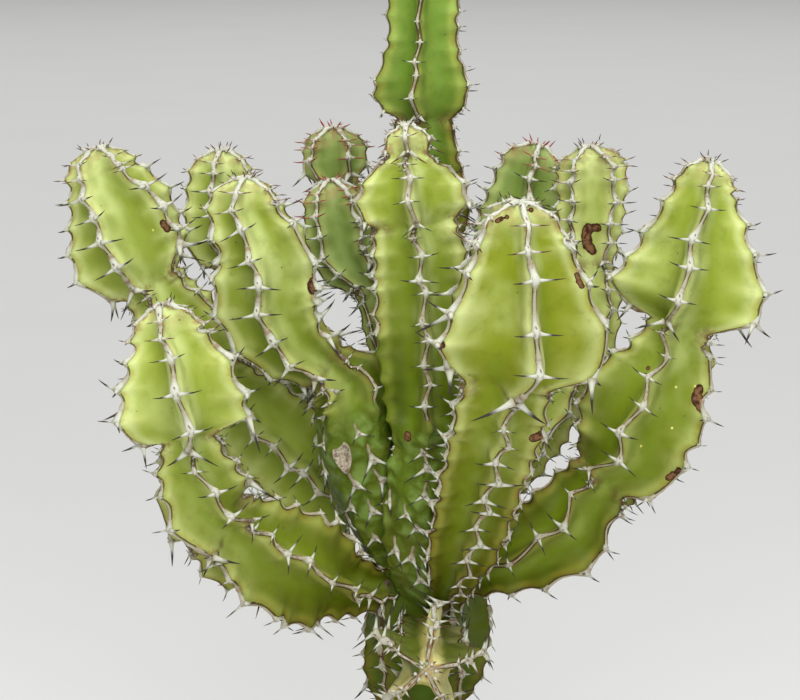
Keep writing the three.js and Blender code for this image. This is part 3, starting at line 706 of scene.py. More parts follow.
class Stem:
    """A stem's axis, the reach and turn of its ribs, and the teeth of every rib"""

    def __init__(self, key, rows):
        self.key = key
        self.kinds = [row[5] if len(row) > 5 else None for row in rows]
        self.low_pitch, self.top_pitch, self.scallop, *self.swings = TOOTHING[key]
        dense = curve_through(np.array([row[:3] for row in rows], float))
        run = np.append(0, np.cumsum(np.linalg.norm(np.diff(dense, axis=0), axis=1)))
        self.stations = run[::CURVE_STEPS]
        self.length = run[-1]
        self.along = np.linspace(0, self.length, round(self.length / AXIS_STEP) + 1)
        even = np.stack([np.interp(self.along, run, dense[:, axis]) for axis in range(3)], -1)
        self.axis = relaxed(even, AXIS_EASING)
        self.tangents = unit(np.gradient(relaxed(self.axis, FRAME_EASING), axis=0))
        fronts = []
        front = FACING
        for tangent in self.tangents[::-1]:
            front = unit(front - (front @ tangent) * tangent)
            fronts.append(front)
        self.fronts = np.array(fronts[::-1])
        self.reaches = [row[3] for row in rows]
        self.turns = [row[4] for row in rows]
        self.waists = [s for s, kind in zip(self.stations, self.kinds) if kind == WAIST and s > 0]
        self.last_waist = max([0, *self.waists])
        self.blunt = min(TIP_LENGTH, 0.6 * (self.length - self.last_waist))
        dice = np.random.default_rng(sum(map(ord, key)))
        self.teeth = [self.tooth_places(rib, dice) for rib in range(RIBS)]
        self.vigours = []
        for teeth in self.teeth:
            spread = np.where(teeth < self.last_waist, *UNEQUAL)
            self.vigours.append(1 + spread * dice.uniform(-1.1, 0.8, len(teeth)))

    def keyed(self, values, sharp_waists, s):
        """A value given at the rows, smooth along the stem, and sharp at a waist where asked"""
        at = self.stations
        slope = np.diff(values) / np.diff(at)
        arrive, leave = np.zeros(len(values)), np.zeros(len(values))
        arrive[-1], leave[0] = slope[-1], slope[0]
        for i in range(1, len(values) - 1):
            product = slope[i - 1] * slope[i]
            arrive[i] = leave[i] = 0 if product <= 0 else 2 * product / (slope[i - 1] + slope[i])
            if sharp_waists and self.kinds[i] == WAIST:
                arrive[i], leave[i] = slope[i - 1], slope[i] * WAIST_FLARE
        i = np.clip(np.searchsorted(at, s, side="right") - 1, 0, len(values) - 2)
        span = at[i + 1] - at[i]
        t = np.clip((s - at[i]) / span, 0, 1)
        t2, t3 = t * t, t * t * t
        values = np.array(values, float)
        start = (2 * t3 - 3 * t2 + 1) * values[i] + (t3 - 2 * t2 + t) * span * leave[i]
        return start + (3 * t2 - 2 * t3) * values[i + 1] + (t3 - t2) * span * arrive[i + 1]

    def reach(self, s):
        wide = self.keyed(self.reaches, True, np.minimum(s, self.length - self.blunt))
        share = np.clip((s - self.length) / self.blunt + 1, 0, 1)
        return wide * (1 - TIP_CLOSING * share**3)

    def turn(self, s):
        return np.radians(self.keyed(self.turns, False, s))

    def smooth(self, s):
        """1 where old flesh has swollen and filled the furrows, so that only the shields stand out"""
        low, high, _ = SMOOTH_ZONES.get(self.key, (-99, -90, 0))
        z = np.interp(s, self.along, self.axis[:, 2])
        return eased(z, low - 6, low + 6) * (1 - eased(z, high - 9, high + 3))

    def frame_at(self, s):
        def read(table):
            return np.stack([np.interp(s, self.along, table[:, axis]) for axis in range(3)], -1)

        tangent = unit(read(self.tangents))
        front = unit(read(self.fronts))
        return read(self.axis), tangent, front, np.cross(tangent, front)

    def tooth_places(self, rib, dice):
        """Teeth are evenly spread over each joint, and crowd together under the tip"""
        places = []
        marks = [0, *self.waists, self.length]
        for low, high in zip(marks, marks[1:]):
            last = high == self.length
            long_tip = last and high - low > LONG_JOINT
            crowd = [0.75 * self.top_pitch, TIP_TOOTH] if long_tip else [WAIST_TOOTH]
            pitch = self.top_pitch if last else self.low_pitch
            count = max(1, round((high - crowd[0] - low) / pitch))
            shift = 0.5 + RIB_SHIFT * (rib % 2 * 2 - 1)
            spots = low + (high - crowd[0] - low) * (np.arange(count) + shift) / count
            loose = LOOSE_TOP if last else LOOSE_LOW
            spots = np.sort(spots + dice.uniform(-loose, loose, count) * pitch)
            places += [*spots, *(high - back + dice.uniform(-0.8, 0.8) for back in crowd)]
        return np.array(places)

    def beat(self, rib, s):
        """How many teeth of a rib lie below s, with the share of the way to the next"""
        teeth = self.teeth[rib]
        ends = np.concatenate([[teeth[0] - self.low_pitch], teeth, [teeth[-1] + self.top_pitch]])
        return np.interp(s, ends, np.arange(len(ends)))

    def swing_at(self, s):
        low, high = self.swings
        return low + (high - low) * eased(s, self.last_waist - 5, self.last_waist + 5)

    def buried(self, rib, edge):
        """1 where the margin of a rib is buried in a neighbour's flesh"""
        top = OVERGROWN.get((self.key, rib), -99)
        return 1 - eased(edge[:, 2], top - 3, top + 3)

    def rib_edge(self, rib, s):
        """The middle of a rib's edge at s, and the directions out of the stem and across the rib"""
        point, _, front, side = self.frame_at(s)
        angle = (self.turn(s) + SECTOR * rib)[:, None]
        out = np.cos(angle) * front + np.sin(angle) * side
        across = np.cos(angle) * side - np.sin(angle) * front
        beat = self.beat(rib, s)
        small = np.minimum(1, self.reach(s) / FULL_REACH) * eased(self.length - s, 0, 8)
        small = small * (1 - 0.55 * self.smooth(s))
        lift = self.scallop * small * (1 - 1.8 * np.sin(math.pi * (beat % 1)))
        zigzag = np.arcsin(SWING_SHARPNESS * np.cos(math.pi * beat + rib * 1.7))
        swing = self.swing_at(s) * small * zigzag / SWING_PEAK
        reach = self.reach(s) + lift
        return point + out * reach[:, None] + across * swing[:, None], out, across

    def clear_of(self, points):
        """How far points stand outside this stem's skin"""
        gaps = points[:, None] - self.axis[None]
        nearest = (gaps**2).sum(-1).argmin(1)
        away = gaps[np.arange(len(points)), nearest]
        front, tangent = self.fronts[nearest], self.tangents[nearest]
        x = (away * front).sum(-1)
        y = (away * np.cross(tangent, front)).sum(-1)
        s = self.along[nearest]
        reach = self.reach(s)
        angle = (np.arctan2(y, x) - self.turn(s) + SECTOR / 2) % SECTOR - SECTOR / 2
        share = np.abs(angle) / (SECTOR / 2)
        furrow = reach * FURROW_SHARE
        skin = reach * furrow / (furrow + (reach - furrow) * share)
        return np.maximum(np.hypot(x, y) - skin, np.abs((away * tangent).sum(-1)) - AXIS_STEP)


def painted_front_highlight(place, point, reach, edges):
    """How strongly a painted highlight pales the skin beside the margins of ribs that face the front"""
    most = np.zeros(place.shape[:2])
    for edge, out, across in edges:
        away = place - edge[:, None]
        aside = (away * across[:, None]).sum(-1) * np.sign(across[:, :1])
        wide = np.where(aside > 0, STRIPE_RIGHT, STRIPE_LEFT)
        pale = np.where(aside > 0, 1, 0.7) * (1 - eased(np.abs(aside), 0.25 * wide, wide))
        ahead = ((place - point[:, None]) * out[:, None]).sum(-1) / reach[:, None]
        faced = eased(-out[:, 1], 0.55, 0.88)[:, None]
        most = np.maximum(most, faced * pale * eased(ahead, 0.1, 0.3))
    return most


def green_skin(stem, finish):
    """The living flesh of a stem, from its root to the dome over its tip"""
    s = np.linspace(0, stem.length, round(stem.length / RING_STEP) + 1)
    point, tangent, front, side = stem.frame_at(s)
    reach = stem.reach(s)
    turn = stem.turn(s)
    smooth = stem.smooth(s)
    swollen = SMOOTH_ZONES.get(stem.key, (0, 0, 0))[2]
    round_foot = np.zeros(len(s))
    if ROUND in stem.kinds:
        foot = max(at for at, kind in zip(stem.stations, stem.kinds) if kind == ROUND)
        round_foot = 1 - eased(s, foot - 6, foot + 9)
    t = np.linspace(0, 1, FLANK_POINTS + 1) ** FLANK_CROWDING
    columns = {"place": [], "beside": [], "furrow": [], "gap": []}
    edges = [stem.rib_edge(rib, s) for rib in range(RIBS)]
    for rib in range(RIBS):
        angle = (turn + SECTOR * (rib + 0.5))[:, None]
        down = np.cos(angle) * front + np.sin(angle) * side
        level = np.cos(angle) * side - np.sin(angle) * front
        bottom = point + down * (reach * (FURROW_SHARE + swollen * smooth))[:, None]
        for which, hand in ((rib, 1), ((rib + 1) % RIBS, -1)):
            edge, _, across = edges[which]
            start = edge + hand * across * np.minimum(RIB_EDGE_HALF, reach * 0.2)[:, None]
            chord = bottom - start
            size = np.linalg.norm(chord, axis=1)[:, None]
            bulge = start + chord * BULGE_ALONG + hand * across * size * BULGE_OUT
            trough = bottom - hand * level * size * TROUGH_LEVEL
            gap = np.sin(math.pi * (stem.beat(which, s) % 1))
            buried = stem.buried(which, edge)
            shares = t if hand == 1 else t[::-1]
            for share in shares[(0 if hand == 1 else 1):]:
                u = share
                place = (1 - u) ** 3 * start + 3 * (1 - u) ** 2 * u * bulge
                place = place + 3 * (1 - u) * u * u * trough + u**3 * bottom
                far = size[:, 0] * share
                dent = -TOOTH_DENT * gap * np.exp(-far / TOOTH_DENT_REACH)
                dent = dent * eased(far, 0, 2) * np.minimum(1, reach / FULL_REACH)
                place = place + hand * across * dent[:, None]
                columns["place"].append(place)
                columns["beside"].append(far + 9 * buried)
                columns["furrow"].append(np.full(len(s), share))
                columns["gap"].append(gap)
    place = np.stack(columns["place"], 1)
    around = place.shape[1]
    middle = point[:, None]
    spoke = place - middle
    if round_foot.any():
        share = round_foot[:, None, None]
        place = middle + spoke * (1 - share) + unit(spoke) * reach[:, None, None] * share
    along = np.gradient(place, axis=0)
    cross = np.roll(place, -1, axis=1) - np.roll(place, 1, axis=1)
    outward = unit(np.cross(cross, along))
    flat = place.reshape(-1, 3)
    uneven = 0.55 * ripple(flat, 22, 21) + 0.22 * ripple(flat, 8, 22)
    uneven = uneven + 1.1 * np.repeat(smooth, around) * ripple(flat, 12, 24)
    near_edge = eased(np.stack(columns["beside"], 1).ravel(), 0, 7)
    uneven = uneven * (0.15 + 0.85 * near_edge) * np.minimum(1, np.repeat(reach, around) / 22)
    place = flat + outward.reshape(-1, 3) * uneven[:, None]
    rings = len(s)
    # painted highlight: pale stripes beside the margins of ribs that face the front
    front_highlight = painted_front_highlight(place.reshape(rings, around, 3), point, reach, edges)
    tip = stem.frame_at(np.array([stem.length]))[0]
    last = place[-around:]
    dome = []
    for share in DOME_RINGS:
        shrink = math.cos(share * math.pi / 2)
        rise = tangent[-1] * DOME_RISE * math.sin(share * math.pi / 2)
        dome.append(tip + (last - tip) * shrink + rise)
    place = np.vstack([place, *dome, point[:1], tip + tangent[-1] * DOME_RISE])
    rings += len(dome)
    numbers = {}
    grids = {key: np.stack(columns[key], 1) for key in ("beside", "furrow", "gap")}
    for key, grid in {**grids, "front_highlight": front_highlight}.items():
        numbers[key] = np.concatenate([grid.ravel(), np.tile(grid[-1], len(dome)), [0, 0]])
    near_waist = np.min([np.abs(s - waist) for waist in stem.waists] or [s * 0 + 99], axis=0)
    per_ring = {
        "age": np.clip((stem.length - s) / AGE_SPAN, 0, 1),
        "waist": np.clip(1 - near_waist / WAIST_SPAN, 0, 1),
        "smooth": smooth,
        "tip": np.clip(1 - (stem.length - s) / TIP_SPAN, 0, 1),
    }
    for key, values in per_ring.items():
        over_tip = np.full(len(dome) * around + 2, values[-1])
        numbers[key] = np.concatenate([np.repeat(values, around), over_tip])
    numbers["tip"][-1] = numbers["tip"][-2] = 1
    if stem.key == "low_front":
        from_margin = np.abs(place[:, 0] - UPPER_MARGIN)
        green_top = eased(place[:, 2], *GREEN_HEIGHTS) * eased(from_margin, *GREEN_ASIDE)
        numbers["smooth"] = np.maximum(numbers["smooth"], green_top)
        for fading in ("tip", "waist", "gap"):
            numbers[fading] = numbers[fading] * (1 - green_top)
        numbers["age"] = numbers["age"] * eased(place[:, 2], *AGEING_HEIGHTS)
    quads = skin_of_rings(rings, around)
    lids = lids_of_rings(rings, around)
    piece = stand(stem.key + "_green", place, quads, lids, finish, numbers)
    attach(piece, "root")
    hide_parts(stem.key + "_stem")


# Old wounds that dried to brown bark: place and radius, by stem
WOUNDS = {
    "centre": [((-7.0, -56.0, 383.4), 1.8), ((-8.0, -55.0, 385.4), 1.8)],
    "front_right": [
        ((6.7, -131.8, 445.3), 2.6),
        ((31.7, -129.2, 500.5), 1.2),
        ((33.5, -128.2, 501.2), 1.3),
        ((36.2, -127.1, 501.9), 1.1),
        ((46.9, -124.0, 504.6), 1.2),
        ((44.6, -125.4, 504.9), 1.0),
        ((67.8, -121.2, 474.9), 1.3),
        ((68.7, -121.7, 472.3), 1.5),
        ((70.1, -121.7, 470.0), 1.4),
        ((54.9, -99.8, 396.6), 1.7),
        ((52.1, -100.7, 395.4), 2.3),
        ((49.8, -100.8, 394.5), 1.6),
    ],
    "left_middle": [
        ((-51.7, -44.0, 459.1), 1.7),
        ((-53.1, -45.3, 456.9), 2.4),
        ((-53.0, -46.3, 453.7), 2.0),
    ],
    "left_back": [((-129.2, 10.5, 477.5), 1.9), ((-127.2, 10.0, 475.1), 2.3)],
    "right": [
        ((133.5, -43.0, 405.4), 2.0),
        ((132.5, -44.0, 402.1), 2.7),
        ((132.4, -45.4, 399.0), 2.6),
        ((134.2, -46.9, 395.9), 1.8),
        ((124.5, -45.8, 365.2), 1.6),
        ((122.4, -43.7, 362.1), 2.2),
        ((119.7, -42.2, 360.2), 1.6),
        ((108.1, -35.3, 410.1), 1.2),
        ((109.6, -34.0, 413.2), 1.2),
    ],
    "outer_back_right": [
        ((90.4, 41.3, 470.1), 2.4),
        ((85.4, 42.7, 469.9), 2.6),
        ((83.8, 41.7, 465.9), 3.0),
        ((85.0, 42.2, 461.6), 3.0),
        ((88.1, 42.3, 458.0), 2.2),
    ],
}
# Small yellow scales that sit on the skin, by stem
SCALES = {
    "right": [
        (122.9, -39.0, 404.9),
        (131.7, -41.6, 406.0),
        (121.0, -42.5, 385.3),
        (106.2, -42.2, 376.2),
        (126.7, -57.3, 454.8),
    ],
    "left_back": [(-134.5, 12.8, 473.6)],
    "outer_back_right": [(80.6, 40.2, 499.1)],
}


def green_finish(name, look, wounds, scales, creased):
    """Waxy green skin from the colours of its faces, furrows, older parts and young tips, with painted
    highlights beside the margins and painted shade in the furrows and over the lower joints
    """
    face, band, furrow, aged_and_shaded, blush, shaded, pillow, darkening_pace, highlight_and_bleach = (look[key] for key in LOOK_PARTS)
    skin = Finish(name, 0.5, Subsurface_Weight=0.12, Subsurface_Scale=0.004, Specular_IOR_Level=0.13)
    beside, deep, gap = skin.told("beside"), skin.told("furrow"), skin.told("gap")
    age, waist, tip, smooth = (skin.told(key) for key in ("age", "waist", "tip", "smooth"))
    clouds = skin.grain(34, 3)
    mottle = skin.grain(7, 4, 0.6)
    # the skin darkens from the tip down, partly the olive of older skin and partly painted shade over
    # the lower joints
    tone = skin.mix(face, aged_and_shaded, age.between(0.1 / darkening_pace, 0.75 / darkening_pace))
    # the colour of the painted highlights, duller and more ochre on older skin
    pale = skin.mix(band, (0.34, 0.355, 0.040), age.between(0.15 / darkening_pace, 0.8 / darkening_pace))
    # painted shade: darker green down in the furrows
    tone = skin.mix(tone, furrow, deep.between(0.4, 1.0) * (0.48 + 0.25 * age))
    # painted highlight on the flanks just inside the margins
    lit = deep.hump(0.2, 0.24) * (0.65 + 0.35 * clouds.between(0.35, 0.6)) * (1 - 0.6 * age)
    tone = skin.mix(tone, pale, lit * 0.5)
    # painted highlight along the rounded ridge beside each margin, less between the teeth and on older
    # skin
    ridge = beside.hump(3.4, 3.4) * (1 - 0.7 * gap) * (1 - age.between(0.1, 0.7))
    tone = skin.mix(tone, pale, ridge * 0.6)
    # painted highlight: pale stripes beside the margins of ribs that face the front, ashier on older
    # skin
    clouded = 0.55 + 0.45 * clouds.between(0.3, 0.6)
    front_highlight = skin.told("front_highlight") * clouded * (1 - 0.75 * age) * (1 - smooth)
    front_highlight_tone = skin.mix(band, (0.46, 0.52, 0.15), age.between(0.1, 0.6))
    tone = skin.mix(tone, front_highlight_tone, front_highlight * highlight_and_bleach)
    # painted highlight on the flesh that bulges out at each tooth
    bulging = 1 - (gap + 0.5 * mottle - 0.25).between(-0.1, 1.1)
    lobe = bulging * (1 - deep.between(0.15, 0.9)) * beside.between(1, 4)
    tone = skin.mix(tone, pale, lobe * clouds.between(0.2, 0.65) * (0.62 - 0.42 * age))
    # painted shade in the hollows between the teeth
    tone = skin.mix(tone, furrow, gap * beside.hump(10, 10) * (1 - deep.between(0.6, 0.95)) * 0.4)
    sunned = beside.hump(2.2, 3.2) * gap * mottle.between(0.3, 0.6)
    tone = skin.mix(tone, (0.40, 0.33, 0.04), sunned * 0.28)
    # painted shade: the swollen flesh deep in the whorl takes the dark shaded green, and so does the top
    # of the low front stem
    tone = skin.mix(tone, shaded, smooth * 0.9)
    puffed = 0
    if creased:
        crease = skin.cracks(13)
        # painted highlight on the puffed pads between the creases, and painted shade along the thin
        # creases
        tone = skin.mix(tone, pillow, smooth * crease.between(0.05, 0.40) * 0.8)
        thin = smooth * (1 - (crease + 0.02 * mottle).between(0.012, 0.04))
        tone = skin.mix(tone, (0.045, 0.060, 0.006), thin * 0.4)
        puffed = 0.9 * smooth * crease.between(0.0, 0.2)
    tone = skin.mix(tone, pale, clouds.between(0.5, 0.75) * (1 - smooth) * (0.3 - 0.22 * age))
    tone = skin.mix(tone, aged_and_shaded, mottle.between(0.5, 0.72) * 0.2)
    worn = age.between(0.5 / darkening_pace, 1.1 / darkening_pace) * (clouds + 0.6 * mottle).between(0.78, 0.95)
    tone = skin.mix(tone, (0.17, 0.155, 0.022), worn * 0.3)
    tone = skin.mix(tone, band, tip * 0.5)
    edge_wear = skin.grain(4, 3, 0.6)
    callus = (1 - beside.between(0.6, 4.6)) * edge_wear.between(0.47, 0.6)
    tone = skin.mix(tone, (0.27, 0.10, 0.03), callus * (0.22 + 0.78 * tip + 0.5 * waist).least(1))
    rim_line = 1 - (beside + 1.8 * edge_wear).between(1.25, 2.0)
    tone = skin.mix(tone, (0.055, 0.028, 0.012), rim_line * 0.85)
    tone = skin.mix(tone, blush, tip * skin.grain(5, 2).between(0.42, 0.6) * 0.5)
    dots = 1 - skin.specks(11).between(0.03, 0.065)
    tone = skin.mix(tone, (0.10, 0.09, 0.03), dots * 0.7)
    cork = waist * mottle.between(0.42, 0.6) * (1 - beside.between(4, 12))
    tone = skin.mix(tone, (0.16, 0.10, 0.045), cork * 0.6)
    bark = 0
    if wounds:
        lump = 0.55 * skin.grain(3.2, 4, 0.65) - 0.275
        for place, radius in wounds:
            lump = lump + (1 - skin.far_from(place) / (1.7 * radius)).most(0)
        bark = lump.between(0.40, 0.47)
        tone = skin.mix(tone, (0.30, 0.24, 0.03), lump.between(0.22, 0.4) * 0.25)
        healed = lump.between(0.5, 0.85) * skin.grain(2.2, 4, 0.6).between(0.36, 0.58)
        tone = skin.mix(tone, skin.mix((0.048, 0.018, 0.009), (0.21, 0.105, 0.050), healed), bark)
    for place in scales:
        tone = skin.mix(tone, (0.72, 0.68, 0.16), 1 - skin.far_from(place).between(0.45, 0.8))
    skin.colour(tone)
    pores = skin.grain(0.7, 2)
    skin.roughness(0.46 + 0.12 * mottle + 0.4 * bark + 0.2 * cork)
    skin.relief(0.25 * pores + 0.35 * mottle + 0.8 * cork + puffed - 0.5 * bark, 0.35)
    return skin


# The last two parts of a look: how fast the skin darkens down a stem, partly with painted shade, and how
# strongly the painted highlight stripes beside front-facing margins show
LOOK_PARTS = ("face", "band", "furrow", "aged_and_shaded", "blush", "shaded", "pillow", "darkening_pace", "highlight_and_bleach")
# The skins of stems in full light, and of the young stems in the shade behind them
SUNLIT = {
    "face": (0.335, 0.395, 0.055),
    "band": (0.66, 0.73, 0.32),
    "furrow": (0.165, 0.24, 0.006),
    "aged_and_shaded": (0.105, 0.138, 0.004),
    "blush": (0.34, 0.24, 0.09),
    "shaded": (0.092, 0.138, 0.009),
    "pillow": (0.225, 0.335, 0.075),
    "darkening_pace": 1.0,
    "highlight_and_bleach": 0.72,
}
YOUNG_SHADED = {
    "face": (0.225, 0.31, 0.07),
    "band": (0.42, 0.50, 0.19),
    "furrow": (0.10, 0.165, 0.015),
    "aged_and_shaded": (0.060, 0.088, 0.003),
    "blush": (0.34, 0.13, 0.08),
    "shaded": (0.10, 0.15, 0.01),
    "pillow": (0.12, 0.18, 0.02),
    "darkening_pace": 1.0,
    "highlight_and_bleach": 0.3,
}
# In what the skins of single stems differ from those, also in how much painted shade darkens their lower
# joints
OWN_LOOKS = {
    "main": {
        "face": (0.265, 0.415, 0.063),
        "band": (0.42, 0.56, 0.15),
        "furrow": (0.125, 0.235, 0.018),
        "aged_and_shaded": (0.048, 0.072, 0.001),
        "blush": (0.26, 0.25, 0.06),
        "shaded": (0.064, 0.096, 0.001),
        "pillow": (0.07, 0.125, 0.008),
        "darkening_pace": 0.85,
        "highlight_and_bleach": 0.3,
    },
    "centre": {"aged_and_shaded": (0.052, 0.078, 0.001), "darkening_pace": 1.45},
    "front_right": {"face": (0.285, 0.315, 0.022), "aged_and_shaded": (0.086, 0.087, 0.001)},
    "right": {"aged_and_shaded": (0.074, 0.097, 0.002), "darkening_pace": 0.95},
    "left_front": {"face": (0.41, 0.475, 0.085), "aged_and_shaded": (0.088, 0.104, 0.002)},
    "left_middle": {"face": (0.315, 0.37, 0.050), "aged_and_shaded": (0.060, 0.092, 0.002), "darkening_pace": 1.35},
    "left_back": {"face": (0.345, 0.405, 0.070), "aged_and_shaded": (0.16, 0.20, 0.012), "darkening_pace": 0.5},
    "back_left": {"face": (0.43, 0.50, 0.115), "aged_and_shaded": (0.14, 0.18, 0.010), "darkening_pace": 0.5},
    "outer_back_right": {"face": (0.43, 0.475, 0.105), "aged_and_shaded": (0.14, 0.18, 0.010), "darkening_pace": 0.6},
    "low_front": {
        "face": (0.60, 0.58, 0.20),
        "band": (0.78, 0.74, 0.38),
        "furrow": (0.36, 0.30, 0.045),
        "aged_and_shaded": (0.055, 0.090, 0.002),
        "blush": (0.40, 0.20, 0.06),
        "shaded": (0.060, 0.092, 0.001),
    },
}
YOUNG_STEMS = ("back_centre", "inner_left", "back_right")
CREASED_STEMS = ("centre", "left_middle")  # old flesh that has swollen into folds

stems = [Stem(key, rows) for key, rows in STEM_ROWS.items()]
for stem in stems:
    look, slot = (YOUNG_SHADED, "young_flesh") if stem.key in YOUNG_STEMS else (SUNLIT, "flesh")
    look = {**look, **OWN_LOOKS.get(stem.key, {})}
    marks = (WOUNDS.get(stem.key, []), SCALES.get(stem.key, []))
    finish = green_finish(stem.key + "_skin", look, *marks, stem.key in CREASED_STEMS)
    green_skin(stem, finish)

# The margins: the horny band along the edge of every rib, swollen at each tooth to a shield with a
# pair of spines that spread sideways. They are dead, hard and grey-white like weathered wood, with
# a leaf scar on each shield and a dark point to each spine. They grew in one with the ribs.

WHORL_TOP = 322  # height at which the main stem's margins are parted into two pieces
TRUNK_MARGINS_FROM = SOIL_TOP + 8
BAND_HALF = 0.72
SHIELD_HALF = 1.5  # what a shield adds to half the width of the band
BAND_RISE = 1.0
SHIELD_RISE = 0.8
SHIELD_ABOVE = (6.5, 10.5)  # how far a shield runs on above its tooth, on lower joints and on the last
SHIELD_BELOW = 4.5  # and below it
LOWER_SHIELDS = 0.8  # size of the shields on the lower joints beside those on the last
NARROW_BANDS = {"main": 0.78, "low_front": 0.78}  # width beside the bands of the other stems
SCAR_ABOVE = 1.8  # where the leaf scar lies above its tooth
KNOB_ABOVE = 5.5  # where a dry brown knob may lie above it
CROWN_SPAN = 11  # under a tip, where the shields run together
CROWN = 0.8  # how much of a shield's size they keep between the teeth there
WEAK_CROWNS = {"low_front": 0.25}
CRUST_SPAN = 8  # how far bands are crusted to either side of a waist
SLIM_SPAN = 110  # down from a tip, over which bands get slimmer
SLIMMER = 0.24
OLDER_BANDS = {"low_front": 0.6}  # what is added to the age of bands
SLICE_STEP = 1.15
ARCH = np.radians([180, 150, 118, 90, 62, 30, 0])
OVER_TIP = np.radians([22, 45, 66, 84])[:, None]  # the margins' last slices, on their way over a tip
OVER_TIP_RISE = 2.1

# Shares of a spine's length, and its radius there in shares of its thickness
SPINE_RINGS = np.array([(0, 1.3), (0.10, 0.82), (0.28, 0.52), (0.6, 0.34), (0.86, 0.17)])
SPINE_SIDES = 7
SPINE_LENGTH = 9.4
LENGTH_STRAY = 1.7
SPINE_SPREAD = 70  # degrees between a spine and the way out of its rib
SPINE_SAG = 4  # degrees that a spine leans to the root
SMOOTH_SAG = 44  # degrees more on swollen flesh
WAIST_SAG = 34  # degrees more on the first tooth above a waist
ANGLE_STRAY = 9
WAIST_SPINES = 1.6  # length of the spines on that tooth beside the others
LOWER_SPINES = 0.82  # length of those on the lower joints beside those on the last
FRESH_SPAN = 16  # under a tip, where the spines are still red
SPINE_CLEARANCE = 0.4  # from a spine to another stem
MAIN_SPINES = 0.72  # length of the main stem's spines beside those of the whorl
CRUST_SPINES = 6  # on each rib at a waist
CRUST_CLEARANCE = 0.3
TUFT_SPINES = 9

# Shields left alone where the flesh of the middle stems has grown together, by stem and place
LONE_SHIELD_LENGTH = 9.5
LONE_SHIELD_RINGS = 12
LONE_SHIELDS = {
    "centre": [
        (-15.9, -47.6, 350.6),
        (-8.1, -56.9, 346.7),
        (-2.8, -56.8, 340.1),
        (-5.1, -49.8, 322.9),
        (-1.2, -48.1, 311.1),
        (1.0, -60.9, 357.3),
        (2.0, -57.2, 370.2),
        (0.0, -56.7, 377.5),
        (-13.0, -45.8, 325.7),
    ],
    "left_middle": [
        (-24.6, -44.8, 371.4),
        (-20.3, -39.7, 359.5),
        (-24.7, -37.3, 343.1),
        (-23.8, -33.9, 328.3),
        (-21.5, -23.0, 309.5),
        (-33.0, -41.2, 357.4),
        (-35.0, -37.5, 344.7),
        (-35.7, -29.6, 334.8),
        (-47.8, -34.0, 362.5),
        (-48.0, -39.3, 377.0),
        (-43.4, -43.3, 403.9),
        (-47.5, -38.4, 390.3),
        (-31.3, -46.0, 384.2),
    ],
}


class Mesh:
    """Points and faces of one piece as they are added to"""

    def __init__(self):
        self.points, self.quads, self.triangles = [], [], []
        self.numbers = {key: [] for key in ("spine", "shield", "dot", "knob", "fresh", "crust", "age")}
        self.count = 0

    def add(self, points, quads, triangles, **numbers):
        self.points.append(points)
        self.quads.append(quads + self.count)
        self.triangles.append(triangles + self.count)
        for key, values in self.numbers.items():
            values.append(np.broadcast_to(numbers.get(key, 0.0), len(points)))
        self.count += len(points)

    def stand(self, name, finish):
        numbers = {key: np.concatenate(values) for key, values in self.numbers.items()}
        skin = [np.vstack(part) for part in (self.points, self.quads, self.triangles)]
        return stand(name, *skin, finish, numbers)


def add_spine(mesh, base, way, length, thick, fresh, bend=np.zeros(3)):
    """A thorn with a flared foot and a fine point, bent a little to one side"""
    start = np.cross(way, [0.31, 0.17, 0.93])
    one = unit(start)
    two = np.cross(way, one)
    turns = np.linspace(0, 2 * math.pi, SPINE_SIDES, endpoint=False)
    circle = np.cos(turns)[:, None] * one + np.sin(turns)[:, None] * two
    rings = []
    for share, radius in SPINE_RINGS:
        rings.append(base + (way + bend * share) * length * share + circle * radius * thick)
    points = np.vstack([*rings, base - way * 0.5, base + (way + bend) * length])
    skin = (skin_of_rings(len(rings), SPINE_SIDES), lids_of_rings(len(rings), SPINE_SIDES))
    shares = np.append(np.repeat(SPINE_RINGS[:, 0], SPINE_SIDES), [0, 1])
    mesh.add(points, *skin, spine=shares, fresh=fresh)


def add_ridge(mesh, middle, up, level, half, rise, sunk, from_scar, **numbers):
    """A horny ridge along a line of middles, arched over it and let into the flesh under it"""
    x = half[:, None] * np.cos(ARCH)[None]
    y = rise[:, None] * np.sin(ARCH)[None] ** 0.8 - sunk[:, None]
    points = middle[:, None] + x[..., None] * level[:, None] + y[..., None] * up[:, None]
    under = middle - up * (sunk + 0.7)[:, None]
    points = np.concatenate([points[:, ::-1], under[:, None]], 1)
    rings, around = points.shape[:2]
    from_middle = np.concatenate([np.abs(x[:, ::-1]), np.full((rings, 1), 9)], 1)
    dot = np.clip(1.3 - np.hypot(from_middle, from_scar[:, None]) / 0.62, 0, 1)
    fore = np.stack([np.full(around - 2, 0), np.arange(2, around), np.arange(1, around - 1)], -1)
    aft = (rings - 1) * around + fore[:, [0, 2, 1]]
    numbers = {key: np.repeat(values, around) for key, values in numbers.items()}
    skin = (skin_of_rings(rings, around), np.vstack([fore, aft]))
    mesh.add(points.reshape(-1, 3), *skin, dot=dot.ravel(), **numbers)


